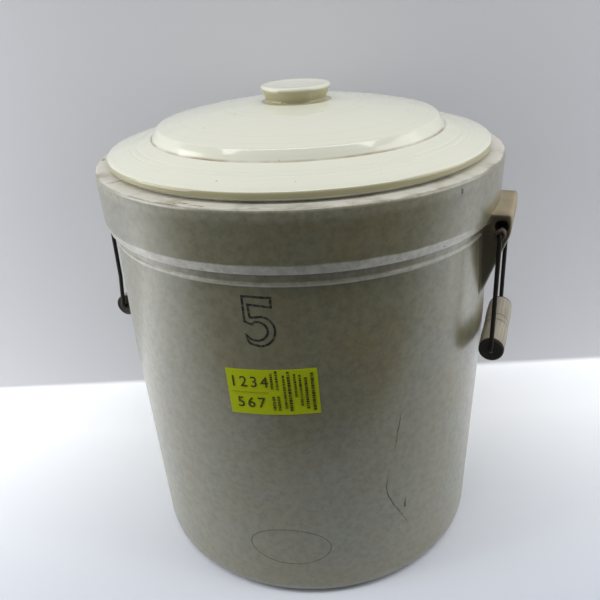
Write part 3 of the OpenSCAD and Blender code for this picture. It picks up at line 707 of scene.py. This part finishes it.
class CROCK_OT_body(bpy.types.Operator):
    """Turns the crock: wall, moulded bands, bare rim, floor and foot"""
    bl_idname = "crock.body"
    bl_label = "Crock body"

    def execute(self, context):
        s = context.scene.crock_sizes
        collar_z = s.height - s.collar_h
        band_z = collar_z - s.bevel_h
        bead_top = band_z - s.strip_h
        bead_foot = bead_top - s.bead_h
        corners = [
            (0, 0, 0),
            (s.wall_foot_r, 0, s.foot_round),
            (s.wall_top_r, s.taper_h, 1.5),
            # bead, plain strip and sloping band
            (s.wall_top_r, bead_foot, 0.8 * MM),
            (s.wall_top_r + s.bead_out, bead_foot + 0.9 * MM, MM),
            (s.wall_top_r + s.bead_out, bead_top - 0.9 * MM, MM),
            (s.wall_top_r, bead_top, 0.8 * MM),
            (s.wall_top_r, band_z, 2 * MM),
            (s.collar_foot_r - s.bevel_in, band_z, MM),
            # collar and rim
            (s.collar_foot_r, collar_z, MM),
            (s.rim_r, s.height, s.rim_round),
            (s.mouth_r, s.height, s.mouth_round),
            # inside
            (s.wall_top_r - s.wall_t, bead_foot, 20 * MM),
            (s.wall_top_r - s.wall_t, s.taper_h, 1.5),
            (body_at(s.floor_t) - s.wall_t, s.floor_t, s.inner_round),
            (0, s.floor_t, 0),
        ]
        bm = turned(eased(corners), s.steps)
        # Chip broken out of the rim's outer edge, along a ball
        middle = chip_place()
        for cuts in (2, 2):
            near = [e for e in bm.edges if all((v.co - middle).length < s.chip_r + 4 * MM for v in e.verts)]
            bmesh.ops.subdivide_edges(bm, edges=near, cuts=cuts, use_grid_fill=True)
        for vert in bm.verts:
            away = vert.co - middle
            if away.length < s.chip_r:
                vert.co = middle + away.normalized() * (s.chip_r + 0.3 * MM * noise.noise(vert.co / 0.002))
            elif vert.co.z < s.height - 0.1 * MM and math.hypot(vert.co.x, vert.co.y) > 0.1:
                vert.co = settled(vert.co)
        shown(bm, "crock_body", "crock", stoneware_glaze(), ["crock"])
        return {"FINISHED"}


class CROCK_OT_ears(bpy.types.Operator):
    """Shapes the two ears, each with a hole along it, and runs them into the wall"""
    bl_idname = "crock.ears"
    bl_label = "Ears"

    def execute(self, context):
        for name, side in (("ear_right", 1), ("ear_left", -1)):
            self.shape(context, name, side)
        return {"FINISHED"}

    def shape(self, context, name, side):
        s = context.scene.ear_sizes
        face_z = s.top_z - s.face_h
        foot_z = face_z - s.slope_h
        root_x = body_at(foot_z) - 6 * MM
        # Cross-section of the bar, drawn out along the wall, with its lower ends drawn in
        bm = bmesh.new()
        section = [(root_x, foot_z), (body_at(foot_z) + 0.4 * MM, foot_z), (s.reach, face_z),
                   (s.reach, s.top_z), (root_x, s.top_z)]
        ring = [bm.verts.new((x, -s.half_l, z)) for x, z in section]
        face = bm.faces.new(ring)
        drawn = bmesh.ops.extrude_face_region(bm, geom=[face])
        bmesh.ops.translate(bm, verts=[v for v in drawn["geom"] if isinstance(v, bmesh.types.BMVert)],
                            vec=(0, 2 * s.half_l, 0))
        for vert in bm.verts:
            if vert.co.z < foot_z + MM:
                vert.co.y -= math.copysign(s.draw, vert.co.y)
        bmesh.ops.recalc_face_normals(bm, faces=bm.faces)
        outer = [e for e in bm.edges if min(v.co.x for v in e.verts) > root_x + MM]
        bmesh.ops.bevel(bm, geom=outer, offset=s.edge, offset_type="OFFSET", segments=5, profile=0.5,
                        affect="EDGES", material=-1, clamp_overlap=True)
        mesh = bpy.data.meshes.new(name + "_blank")
        bm.to_mesh(mesh)
        bm.free()
        blank = bpy.data.objects.new(name + "_blank", mesh)
        context.scene.collection.objects.link(blank)
        # Hole along the ear
        drill_mesh = bpy.data.meshes.new(name + "_drill")
        bm = bmesh.new()
        bmesh.ops.create_cone(bm, cap_ends=True, segments=48, radius1=s.hole_r, radius2=s.hole_r,
                              depth=4 * s.half_l, matrix=Matrix.Translation((
                                  context.scene.bail_sizes.hole_x, 0, s.hole_z)) @ Matrix.Rotation(
                                      math.radians(90), 4, "X"))
        bm.to_mesh(drill_mesh)
        bm.free()
        drill = bpy.data.objects.new(name + "_drill", drill_mesh)
        context.scene.collection.objects.link(drill)
        cut = blank.modifiers.new("Hole", "BOOLEAN")
        cut.object = drill
        cut.operation = "DIFFERENCE"
        cells = blank.modifiers.new("Grain", "REMESH")
        cells.mode = "VOXEL"
        cells.voxel_size = s.voxel
        ready = bpy.data.meshes.new_from_object(blank.evaluated_get(context.evaluated_depsgraph_get()))
        bm = bmesh.new()
        bm.from_mesh(ready)
        for extra in (blank, drill):
            bpy.data.objects.remove(extra)
        for _ in range(4):
            bmesh.ops.smooth_vert(bm, verts=bm.verts, factor=0.5, use_axis_x=True, use_axis_y=True, use_axis_z=True)
        # Clay pressed out into a hollow where the ear meets the wall
        bm.normal_update()
        for vert in bm.verts:
            off = math.hypot(vert.co.x, vert.co.y) - body_at(vert.co.z)
            if off < s.fillet and off > -3 * MM:
                away = vert.normal - vert.normal.project(Vector((vert.co.x, vert.co.y, 0)))
                if away.length > 0.3:
                    near = max(off, 0)
                    flare = s.fillet - math.sqrt(s.fillet ** 2 - (s.fillet - near) ** 2)
                    flare *= min(1, abs(s.top_z + 2 * MM - vert.co.z) / (8 * MM))
                    vert.co += away.normalized() * flare
        for _ in range(2):
            bmesh.ops.smooth_vert(bm, verts=bm.verts, factor=0.5, use_axis_x=True, use_axis_y=True, use_axis_z=True)
        if side < 0:
            bmesh.ops.rotate(bm, verts=bm.verts, cent=(0, 0, 0), matrix=Matrix.Rotation(math.pi, 3, "Z"))
        shown(bm, name, "crock", ear_clay(), ["crock"])


class CROCK_OT_lid(bpy.types.Operator):
    """Turns the lid: domed crown, step, flange, edge, inner ring and button knob"""
    bl_idname = "crock.lid"
    bl_label = "Lid"

    def execute(self, context):
        s = context.scene.lid_sizes
        rim_z = context.scene.crock_sizes.height
        edge_z = rim_z + s.edge_h
        dome_z = edge_z + s.flange_rise
        shoulder_r = s.dome_r - s.step_w
        crown_z = dome_z + s.step_h + s.crown_rise
        curve = (shoulder_r ** 2 + s.crown_rise ** 2) / (2 * s.crown_rise)

        def crown(r):
            return crown_z - curve + math.sqrt(curve ** 2 - r ** 2)

        def flange(r):
            return edge_z + s.flange_rise * (s.lid_r - r) / (s.lid_r - s.dome_r)

        foot_r = s.knob_foot_r + s.neck_round
        top = [
            (0, s.knob_z - 0.6 * MM, 0),
            (s.knob_r * 0.6, s.knob_z - 0.4 * MM, 0),
            (s.knob_r, s.knob_z, s.knob_round),
            (s.knob_r, s.knob_z - 4 * MM, 2 * MM),
            (s.knob_foot_r, crown(foot_r), s.neck_round),
        ]
        top += [(r, crown(r), 0) for r in (foot_r + (shoulder_r - foot_r) * k / 16 for k in range(1, 17))]
        top += [
            (shoulder_r + 0.34 * s.step_w, crown(shoulder_r) - 0.6 * MM, 5 * MM),
            (shoulder_r + 0.7 * s.step_w, dome_z + 0.44 * s.step_h, 4 * MM),
            (s.dome_r + 0.2 * MM, dome_z - 0.8 * MM, 0.5 * MM),
            (s.dome_r + 1.4 * MM, flange(s.dome_r + 1.4 * MM), MM),
        ]
        # Two faint lines cut round the flange while it turned
        for line_r in (s.dome_r + 13 * MM, s.dome_r + 18 * MM):
            top += [(line_r - 0.8 * MM, flange(line_r - 0.8 * MM), 0.4 * MM),
                    (line_r, flange(line_r) - 0.22 * MM, 0.4 * MM),
                    (line_r + 0.8 * MM, flange(line_r + 0.8 * MM), 0.4 * MM)]
        ring_in = s.ring_r - s.ring_t
        under = [
            (s.lid_r, edge_z, s.edge_round),
            (s.lid_r, rim_z + s.under_h, 1.6 * MM),
            (s.lid_r - s.under_w, rim_z, 0.6 * MM),
            (s.ring_r, rim_z, 0.6 * MM),
            (s.ring_r - MM, rim_z - s.ring_h, 1.2 * MM),
            (ring_in, rim_z - s.ring_h, 1.2 * MM),
            (ring_in - MM, flange(ring_in) - s.lid_t, 3 * MM),
            (s.dome_r, dome_z - s.lid_t, 4 * MM),
            (shoulder_r - 0.6 * s.lid_t, dome_z + s.step_h - s.lid_t, 4 * MM),
        ]
        hollow = [(r, crown(r) - s.lid_t, 0) for r in (shoulder_r * 0.93 * k / 12 for k in range(11, -1, -1))]
        bm = turned(eased(top + under + hollow), s.steps, run=4 * MM)
        for vert in bm.verts:
            if vert.co.z > rim_z + MM:
                vert.co.z -= 0.25 * MM * abs(noise.noise(vert.co / 0.05))
        shown(bm, "lid_glazed", "lid", lid_glaze(), ["lid"])
        return {"FINISHED"}


class CROCK_OT_bails(bpy.types.Operator):
    """Bends the two wire bails, from the middle of each grip out to the hooks"""
    bl_idname = "crock.bails"
    bl_label = "Bails"

    def execute(self, context):
        tints = context.scene.finish_colours
        steel = rusted_steel("rusted_drawn_steel", tints.wire, 0.7)
        for side, name in ((1, "bail_right"), (-1, "bail_left")):
            bm = self.bend(context.scene.bail_sizes, side)
            shown(bm, name + "_wire", name, steel, [name])
            shown(self.wind(context.scene.bail_sizes, side), name + "_winding", name,
                  rusted_steel("rusted_wire_end", tints.wire_end, 0))
        return {"FINISHED"}

    def bend(self, s, side):
        bm = bmesh.new()
        x = side * s.hole_x
        start = Matrix.Translation((x, 0, s.grip_z)) @ Matrix.Rotation(math.radians(90), 4, "X")
        bmesh.ops.create_circle(bm, cap_ends=False, segments=20, radius=s.wire_r, matrix=start)
        ring = bm.edges[:]
        place = Vector((0, s.grip_z))
        heading = 0

        def direction():
            return Vector((math.cos(heading), math.sin(heading)))

        def straight(distance):
            nonlocal ring, place
            pieces = max(1, round(distance / (3 * MM)))
            for _ in range(pieces):
                grown = bmesh.ops.extrude_edge_only(bm, edges=ring)
                step = direction() * distance / pieces
                bmesh.ops.translate(bm, verts=[v for v in grown["geom"] if isinstance(v, bmesh.types.BMVert)],
                                    vec=(0, step.x, step.y))
                ring = [e for e in grown["geom"] if isinstance(e, bmesh.types.BMEdge)]
            place = place + direction() * distance

        def bend(angle, radius):
            nonlocal ring, place, heading
            aside = Vector((-math.sin(heading), math.cos(heading))) * math.copysign(radius, angle)
            centre = place + aside
            steps = max(3, round(math.degrees(abs(angle)) / 9))
            verts = list({v for e in ring for v in e.verts})
            grown = bmesh.ops.spin(bm, geom=verts + ring, cent=(x, centre.x, centre.y), axis=(1, 0, 0),
                                   angle=angle, steps=steps)
            ring = [e for e in grown["geom_last"] if isinstance(e, bmesh.types.BMEdge)]
            heading += angle
            place = centre + Vector((math.sin(heading), -math.cos(heading))) * math.copysign(radius, angle)

        straight(s.straight_y)
        bend(math.radians(90) + s.lean, s.bend_r)
        # Sloping part, up to where the arm stands upright
        drop = s.kink_r * (1 - math.cos(s.lean))
        straight((place.x - drop - s.arm_y) / math.sin(s.lean))
        bend(-s.lean, s.kink_r)
        straight(s.hinge_z - s.bend_r - place.y)
        bend(math.radians(90), s.bend_r)
        straight(place.x - s.hook_y)
        end = bmesh.ops.contextual_create(bm, geom=ring)["faces"]
        bmesh.ops.inset_region(bm, faces=end, thickness=0.4 * MM, depth=0.25 * MM)
        bmesh.ops.mirror(bm, geom=bm.verts[:] + bm.edges[:] + bm.faces[:], axis="Y", merge_dist=MM / 1000)
        bmesh.ops.remove_doubles(bm, verts=bm.verts, dist=MM / 1000)
        bmesh.ops.recalc_face_normals(bm, faces=bm.faces)
        return bm


    def wind(self, s, side):
        """The wire's thin end, wound round the front hook beside the ear."""
        bm = bmesh.new()
        cent = Vector((side * s.hole_x, -s.wound_y, s.hinge_z))
        place = Matrix.Translation(cent + Vector((0, 0, s.wire_r + s.wound_r))) @ Matrix.Rotation(math.radians(90), 4, "Y")
        bmesh.ops.create_circle(bm, cap_ends=True, segments=12, radius=s.wound_r, matrix=place)
        steps = 24 * s.wound_turns
        bmesh.ops.spin(bm, geom=bm.faces[:], cent=cent, axis=(0, 1, 0), dvec=(0, -2.1 * s.wound_r / 24, 0),
                       angle=math.tau * s.wound_turns, steps=steps)
        for vert in bm.verts:
            vert.co += 1.2 * MM * noise.noise_vector(vert.co / 0.005)
        bmesh.ops.recalc_face_normals(bm, faces=bm.faces)
        return bm


class CROCK_OT_grips(bpy.types.Operator):
    """Turns the wooden grips"""
    bl_idname = "crock.grips"
    bl_label = "Grips"

    def execute(self, context):
        s = context.scene.grip_sizes
        half = [(s.neck_r, 0, 0), (s.neck_r, s.band_half, 0.3 * MM),
                (s.neck_r - s.score_depth, s.band_half + s.score_w / 2, 0.3 * MM),
                (s.neck_r, s.band_half + s.score_w, 0.5 * MM)]
        swell_from = s.band_half + s.score_w
        spigot_y = s.half_l - s.cap_skirt
        for k in range(1, 8):
            half.append((s.neck_r + (s.grip_r - s.neck_r) * math.sin(math.pi * k / 8),
                         swell_from + (spigot_y - swell_from) * k / 8, 0))
        half += [(s.neck_r, spigot_y, 0.3 * MM), (s.spigot_r, spigot_y, 0), (s.spigot_r, s.half_l, 0.4 * MM),
                 (s.bore_r, s.half_l, 0)]
        outline = half + [(r, -y, e) for r, y, e in reversed(half[1:])]
        for side, name in ((1, "grip_right"), (-1, "grip_left")):
            bm = turned(eased(outline, 4), 96, closed=True, run=2.5 * MM)
            bmesh.ops.rotate(bm, verts=bm.verts, cent=(0, 0, 0), matrix=Matrix.Rotation(math.radians(90), 3, "X"))
            bmesh.ops.translate(bm, verts=bm.verts, vec=(side * context.scene.bail_sizes.hole_x, 0,
                                                         context.scene.bail_sizes.grip_z))
            shown(bm, name + "_wood", name, weathered_wood(), [name])
        return {"FINISHED"}


class CROCK_OT_caps(bpy.types.Operator):
    """Presses the four end caps with their rolled ridges"""
    bl_idname = "crock.caps"
    bl_label = "End caps"

    def execute(self, context):
        s = context.scene.grip_sizes
        tints = context.scene.finish_colours
        steel = rusted_steel("rusted_pressed_steel", tints.cap, 0.6)
        face = s.cap_t
        corners = [(s.cap_r, -s.cap_skirt, 0.3 * MM), (s.cap_r, face, 0.9 * MM)]
        # Rolled ridges from the rim in to the hole
        for ridge_r in (s.cap_r - 1.7 * MM, (s.cap_r - 1.7 * MM + s.cap_bore_r + 0.8 * MM) / 2, s.cap_bore_r + 0.8 * MM):
            corners += [(ridge_r + 0.8 * MM, face, 0.3 * MM), (ridge_r + 0.4 * MM, face + s.cap_ridge, 0.4 * MM),
                        (ridge_r - 0.4 * MM, face + s.cap_ridge, 0.4 * MM), (ridge_r - 0.8 * MM, face, 0.3 * MM)]
        corners[-1] = (s.cap_bore_r, face, 0)
        corners += [(s.cap_bore_r, 0, 0), (s.cap_r - s.cap_t, 0, 0.5 * MM), (s.cap_r - s.cap_t, -s.cap_skirt, 0)]
        for side, hand in ((1, "right"), (-1, "left")):
            for end, place in ((-1, "front"), (1, "back")):
                name = f"cap_{hand}_{place}"
                bm = turned(eased(corners, 4), 72, closed=True)
                bmesh.ops.rotate(bm, verts=bm.verts, cent=(0, 0, 0),
                                 matrix=Matrix.Rotation(math.radians(-90 * end), 3, "X"))
                bmesh.ops.translate(bm, verts=bm.verts, vec=(
                    side * context.scene.bail_sizes.hole_x, end * s.half_l, context.scene.bail_sizes.grip_z))
                shown(bm, name + "_pressed", f"grip_{hand}", steel, [name])
        return {"FINISHED"}


class CROCK_OT_marks(bpy.types.Operator):
    """Draws the fired ink on the front: the outlined numeral and the worn oval ring"""
    bl_idname = "crock.marks"
    bl_label = "Fired marks"

    def execute(self, context):
        s = context.scene.mark_sizes
        tints = context.scene.finish_colours

        def arc(x, y, across, up, start, end, steps):
            turns = [math.radians(start + (end - start) * k / steps) for k in range(steps + 1)]
            return [(x + across * math.cos(a), y + up * math.sin(a)) for a in turns]

        # Numeral 5: flag, stem, bowl round the outside and back round the inside
        corners = [(0, 40.5), (22.3, 39.9), (22.6, 31), (6.2, 32.4), (7.4, 24.4)]
        corners += arc(14.2, 12.7, 11.4, 12.5, 106, -108, 26)
        corners += [(6, 2), (4.2, 4.8), (3, 11.2), (6.6, 8)]
        corners += arc(11.5, 12.8, 7.1, 6.6, 246, 456, 22)
        corners += [(8, 16.9), (2, 19.5)]
        centred = [((x - 12.8 - s.slant * (40.5 - y)) * MM, y * MM) for x, y in corners]
        ink = thin_layer("blue_black_ink", tints.ink, tints.glaze, 0.24, 0.45)
        shown(wrapped(outlined(centred, s.stroke), s.numeral_turn, s.numeral_z, s.ink_lift),
              "numeral", "crock", ink)
        # Oval ring of the worn stamp
        ring = [(s.stamp_w / 2 * math.cos(a), s.stamp_h / 2 * math.sin(a))
                for a in (math.tau * k / 72 for k in range(72))]
        worn = thin_layer("worn_stamping_ink", tints.stamp, tints.glaze, 0.24, 1)
        shown(wrapped(outlined(ring, 0.9 * MM), s.stamp_turn, s.stamp_z, s.ink_lift),
              "oval_ring", "crock", worn)
        return {"FINISHED"}


class CROCK_OT_label(bpy.types.Operator):
    """Sticks the yellow paper label on the wall, with a ruled line, plain bars and plain numbers"""
    bl_idname = "crock.label"
    bl_label = "Paper label"

    def execute(self, context):
        s = context.scene.mark_sizes
        tints = context.scene.finish_colours

        def bar(flat, x, y, width, depth):
            bmesh.ops.create_grid(flat, x_segments=1, y_segments=1, size=0.5,
                                  matrix=Matrix.Translation((x, y, 0)) @ Matrix.Diagonal((width, depth, 1, 1)))
            return flat

        def stick(flat, name, tint, under, lift, share):
            bmesh.ops.rotate(flat, verts=flat.verts, cent=(0, 0, 0), matrix=Matrix.Rotation(s.label_lean, 3, "Z"))
            shown(wrapped(flat, s.label_turn, s.label_z, lift), name, "crock",
                  thin_layer(name + "_layer", tint, under, 0.7, share, 1.25))

        top = s.paper_lift + 0.03 * MM
        stick(bar(bmesh.new(), 0, 0, s.label_w, s.label_h), "label_paper", tints.paper, tints.paper_line,
              s.paper_lift, 0.15)
        left = -s.label_w / 2
        stick(bar(bmesh.new(), left + 0.25 * s.label_w, 0, 0.42 * s.label_w, 0.5 * MM), "label_rule",
              tints.paper_line, tints.paper, top, 0.3)
        # Small print stands as columns of plain short bars: place across, from, to, width in millimetres
        print_bars = bmesh.new()
        for part, start, end, width in (
                (0.505, 0.08, 0.42, 1.8), (0.505, -0.4, -0.1, 1.8), (0.56, 0.06, 0.42, 1.8), (0.56, -0.4, -0.1, 1.8),
                (0.635, -0.36, 0.38, 1.7), (0.69, -0.42, 0.42, 2.2), (0.755, -0.1, 0.4, 1.7), (0.81, -0.3, 0.34, 1.7),
                (0.87, -0.38, 0.3, 2), (0.94, -0.42, 0.42, 2.2)):
            y = start * s.label_h
            while y < end * s.label_h:
                run = (1.2 + 1.6 * abs(noise.noise(Vector((part * 40, y / MM, 0))))) * MM
                bar(print_bars, left + part * s.label_w, y + run / 2, width * MM, run)
                y += run + 0.5 * MM
        stick(print_bars, "label_print", tints.marker, tints.paper_line, top, 0.8)
        # Two rows of plain numbers in black marker
        for k, (words, y) in enumerate((("1234", 0.12 * s.label_h), ("567", -0.34 * s.label_h))):
            curve = bpy.data.curves.new(f"number_row_{k + 1}", "FONT")
            curve.body = words
            curve.size = 0.33 * s.label_h
            curve.space_character = 1.25
            curve.align_x = "CENTER"
            curve.resolution_u = 3
            drawn = bpy.data.objects.new(curve.name, curve)
            context.scene.collection.objects.link(drawn)
            mesh = bpy.data.meshes.new_from_object(
                drawn.evaluated_get(context.evaluated_depsgraph_get()))
            bpy.data.objects.remove(drawn)
            flat = bmesh.new()
            flat.from_mesh(mesh)
            bmesh.ops.remove_doubles(flat, verts=flat.verts, dist=MM / 100)
            bmesh.ops.translate(flat, verts=flat.verts, vec=(left + 0.25 * s.label_w, y, 0))
            stick(flat, f"label_number_{k + 1}", tints.marker, tints.paper_line, top, 0.2)
        return {"FINISHED"}


class CROCK_OT_wear(bpy.types.Operator):
    """Draws the cracks in the wall, the dark spots and the stains on the bare rim"""
    bl_idname = "crock.wear"
    bl_label = "Cracks and stains"

    def execute(self, context):
        s = context.scene.mark_sizes
        crock = context.scene.crock_sizes
        tints = context.scene.finish_colours
        crack = thin_layer("cracked_glaze", tints.crack, tints.glaze, 0.3, 0.75)
        smear = thin_layer("dark_glaze_drop", tints.drop, tints.glaze, 0.25, 0.6)
        stained = thin_layer("stained_clay", tints.clay_stain, tints.clay, 0.85, 0.8)
        # Two hairline cracks, each point as an angle and a height
        for name, path in (
                ("crack_high", ((-44.3, 179.3), (-45.1, 167.7), (-45.5, 159.2), (-45.8, 147.7))),
                ("crack_low", ((-47.6, 124.1), (-48.2, 117.2), (-48.4, 109.1), (-47.7, 98.6), (-45.8, 88.8),
                               (-43.5, 78.2), (-41, 66.8), (-39.2, 58.4)))):
            turn = math.radians(path[0][0])
            middle = (path[0][1] + path[-1][1]) / 2 * MM
            flat = streak([((math.radians(a) - turn) * body_at(middle), z * MM - middle) for a, z in path], 1.1 * MM)
            shown(wrapped(flat, turn, middle, s.ink_lift), name, "crock", crack)
        # Spots on the wall: angle, height, width and depth
        for k, (a, z, width, depth, layer) in enumerate((
                (-41.3, 84, 2.6, 8, smear), (-28.9, 348, 2.6, 4.6, smear),
                (-33.3, 311, 1.6, 1.2, crack))):
            shown(wrapped(self.blot(width * MM, depth * MM, k), math.radians(a), z * MM, s.ink_lift),
                  f"wall_spot_{k + 1}", "crock", layer)
        # Stains on the flat rim: angle, radius, width and depth
        for k, (a, r, width, depth) in enumerate((
                (-157, 164, 9, 3), (-169, 164, 6, 2.6), (178, 164, 10, 3), (-121, 151.5, 6, 2.5), (-98, 163, 7, 2.4),
                (-80.7, 165.2, 7, 1.5), (-92.5, 165.3, 5, 1.3), (-95, 164.8, 8, 1.6), (-100, 165.2, 4, 1.4))):
            self.laid(self.blot(width * MM, depth * MM, k + 9), a, r * MM, f"rim_stain_{k + 1}", stained)
        dirt = thin_layer("dirty_crack", tints.crack, tints.clay_stain, 0.85, 0.7)
        across = crock.rim_r - crock.mouth_r
        line = streak([(0, -0.48 * across), (0.6 * MM, -0.2 * across), (-0.4 * MM, 0.1 * across), (0.3 * MM, 0.35 * across)],
                      1 * MM)
        self.laid(line, -129, (crock.rim_r + crock.mouth_r) / 2, "rim_crack", dirt)
        return {"FINISHED"}

    def blot(self, width, depth, seed):
        """Flat spot with an uneven edge."""
        flat = bmesh.new()
        bmesh.ops.create_circle(flat, cap_ends=True, segments=24, radius=0.5)
        for vert in flat.verts:
            vert.co *= 1 + 0.7 * noise.noise(vert.co * 3 + Vector((seed, 0, 0)))
            vert.co.x *= width
            vert.co.y *= depth
        return flat

    def laid(self, flat, degrees, radius, name, layer):
        """Lays a flat drawing on the rim, its y pointing out from the middle."""
        s = bpy.context.scene
        place = (Matrix.Rotation(math.radians(degrees), 4, "Z")
                 @ Matrix.Translation((radius, 0, s.crock_sizes.height + s.mark_sizes.ink_lift))
                 @ Matrix.Rotation(math.radians(-90), 4, "Z"))
        bmesh.ops.transform(flat, matrix=place, verts=flat.verts)
        bmesh.ops.recalc_face_normals(flat, faces=flat.faces)
        if sum(f.normal.z for f in flat.faces) < 0:
            bmesh.ops.reverse_faces(flat, faces=flat.faces)
        bmesh.ops.solidify(flat, geom=flat.faces, thickness=s.mark_sizes.sheet)
        bmesh.ops.recalc_face_normals(flat, faces=flat.faces)
        shown(flat, name, "crock", layer)


class CROCK_OT_stage(bpy.types.Operator):
    """Sets the pale table and wall, the soft lamps and the camera"""
    bl_idname = "crock.stage"
    bl_label = "Stage"

    def execute(self, context):
        scene = context.scene
        s = scene.view_sizes
        tints = scene.finish_colours
        # Table and wall in one sheet with a cove between them, square to the camera
        bm = bmesh.new()
        outline = eased([(-s.table_y, 0, 0), (s.wall_y, 0, s.cove), (s.wall_y, 0.75, 0)], 12)
        verts = [bm.verts.new((-3, y, z)) for y, z in outline]
        edges = [bm.edges.new(pair) for pair in zip(verts, verts[1:])]
        drawn = bmesh.ops.extrude_edge_only(bm, edges=edges)
        bmesh.ops.translate(bm, verts=[v for v in drawn["geom"] if isinstance(v, bmesh.types.BMVert)], vec=(6, 0, 0))
        bmesh.ops.rotate(bm, verts=bm.verts, cent=(0, 0, 0), matrix=Matrix.Rotation(s.turn, 3, "Z"))
        bmesh.ops.recalc_face_normals(bm, faces=bm.faces)
        if sum(f.normal.z for f in bm.faces) < 0:
            bmesh.ops.reverse_faces(bm, faces=bm.faces)
        for face in bm.faces:
            face.smooth = True
        mesh = bpy.data.meshes.new("table_and_wall")
        bm.to_mesh(mesh)
        bm.free()
        material, tree, shader, place = new_finish("painted_board")
        spot = add_node(tree, "ShaderNodeSeparateXYZ", {0: place})
        upright = add_node(tree, "ShaderNodeMapRange", {"Value": spot.outputs[2], "From Min": 0, "From Max": s.cove})
        # Painted shade on the table top, darker towards the viewer
        back = add_node(tree, "ShaderNodeVectorMath", {0: place, 1: (-math.sin(s.turn), math.cos(s.turn), 0)},
                        operation="DOT_PRODUCT")
        near = add_node(tree, "ShaderNodeMapRange", {"Value": back.outputs["Value"], "From Min": -0.9 * s.wall_y,
                                                     "From Max": 0.5 * s.wall_y})
        table = add_node(tree, "ShaderNodeMix", {0: near.outputs[0], 6: rgba(tints.floor_near_shaded),
                                                 7: rgba(tints.floor)}, data_type="RGBA")
        paint = add_node(tree, "ShaderNodeMix", {0: upright.outputs[0], 6: table.outputs[2],
                                                 7: rgba(tints.backdrop)}, data_type="RGBA")
        tree.links.new(paint.outputs[2], shader.inputs["Base Color"])
        shader.inputs["Roughness"].default_value = 0.6
        # Clear to a camera that looks from behind or from below
        rear = add_node(tree, "ShaderNodeNewGeometry").outputs["Backfacing"]
        seen = add_node(tree, "ShaderNodeLightPath").outputs["Is Camera Ray"]
        clear = add_node(tree, "ShaderNodeMath", {0: rear, 1: seen}, operation="MULTIPLY")
        glass = add_node(tree, "ShaderNodeBsdfTransparent")
        board_end = add_node(tree, "ShaderNodeMixShader", {0: clear.outputs[0], 1: shader.outputs[0], 2: glass.outputs[0]})
        tree.links.new(board_end.outputs[0], tree.nodes["Material Output"].inputs["Surface"])
        mesh.materials.append(material)
        board = bpy.data.objects.new("table_and_wall", mesh)
        scene.collection.objects.link(board)
        # World: plain pale surroundings
        world = bpy.data.worlds.new("pale_room")
        world.use_nodes = True
        tree = world.node_tree
        tree.nodes.clear()
        sky = add_node(tree, "ShaderNodeBackground", {"Color": (0.9, 0.93, 1, 1), "Strength": 0.09})
        add_node(tree, "ShaderNodeOutputWorld", {"Surface": sky.outputs[0]})
        scene.world = world
        # Lamps: a wide one overhead, and weak ones to the left and the right
        for name, place, aim, size, power in (
                ("overhead", (0, -0.74, 3.4), (0, 0, 0.3), (6, 1), 101),
                ("left_window", (-1, -0.15, 0.5), (-0.35, 0, 0), (0.8, 0.7), 7),
                ("right_wall", (0.95, -0.25, 0.55), (0.4, 0, 0), (0.9, 0.8), 5)):
            lamp = bpy.data.lights.new(name, "AREA")
            lamp.shape = "RECTANGLE"
            lamp.size, lamp.size_y = size
            lamp.energy = power
            holder = bpy.data.objects.new(name, lamp)
            spot = Matrix.Rotation(s.turn, 4, "Z") @ Vector(place)
            holder.location = spot
            holder.rotation_euler = (Vector(aim) - spot).to_track_quat("-Z", "Y").to_euler()
            scene.collection.objects.link(holder)
        # Camera as the photograph was taken
        lens = bpy.data.cameras.new("camera")
        lens.sensor_width = 36
        lens.lens = s.lens
        lens.clip_start = 0.01
        camera = bpy.data.objects.new("camera", lens)
        camera.matrix_world = (
            Matrix.Translation((s.distance * math.sin(s.turn), -s.distance * math.cos(s.turn), s.height))
            @ Matrix.Rotation(s.turn + s.aside, 4, "Z")
            @ Matrix.Rotation(math.radians(90) - s.down, 4, "X")
            @ Matrix.Rotation(s.roll, 4, "Z"))
        scene.collection.objects.link(camera)
        scene.camera = camera
        scene.view_settings.view_transform = "Standard"
        return {"FINISHED"}


class CROCK_PT_panel(bpy.types.Panel):
    """Lists the operators and the sizes of the crock"""
    bl_idname = "CROCK_PT_panel"
    bl_label = "Stoneware crock"
    bl_space_type = "VIEW_3D"
    bl_region_type = "UI"
    bl_category = "Crock"

    def draw(self, context):
        for operator in OPERATORS:
            self.layout.operator(operator.bl_idname)
        for name, group in GROUPS:
            box = self.layout.box()
            box.label(text=group.__name__)
            for field in group.__annotations__:
                box.prop(getattr(context.scene, name), field)


GROUPS = [("crock_sizes", CrockSizes), ("lid_sizes", LidSizes), ("ear_sizes", EarSizes),
          ("bail_sizes", BailSizes), ("grip_sizes", GripSizes), ("mark_sizes", MarkSizes),
          ("finish_colours", FinishColours), ("view_sizes", ViewSizes)]
OPERATORS = [CROCK_OT_stage, CROCK_OT_body, CROCK_OT_ears, CROCK_OT_lid, CROCK_OT_bails,
             CROCK_OT_grips, CROCK_OT_caps, CROCK_OT_marks, CROCK_OT_label, CROCK_OT_wear]


def register():
    for name, group in GROUPS:
        bpy.utils.register_class(group)
        setattr(bpy.types.Scene, name, PointerProperty(type=group))
    for item in OPERATORS + [CROCK_PT_panel]:
        bpy.utils.register_class(item)


def unregister():
    for item in [CROCK_PT_panel] + OPERATORS[::-1]:
        bpy.utils.unregister_class(item)
    for name, group in GROUPS[::-1]:
        delattr(bpy.types.Scene, name)
        bpy.utils.unregister_class(group)


def main():
    register()
    for operator in OPERATORS:
        group, action = operator.bl_idname.split(".")
        getattr(getattr(bpy.ops, group), action)()


if __name__ == "__main__":
    main()
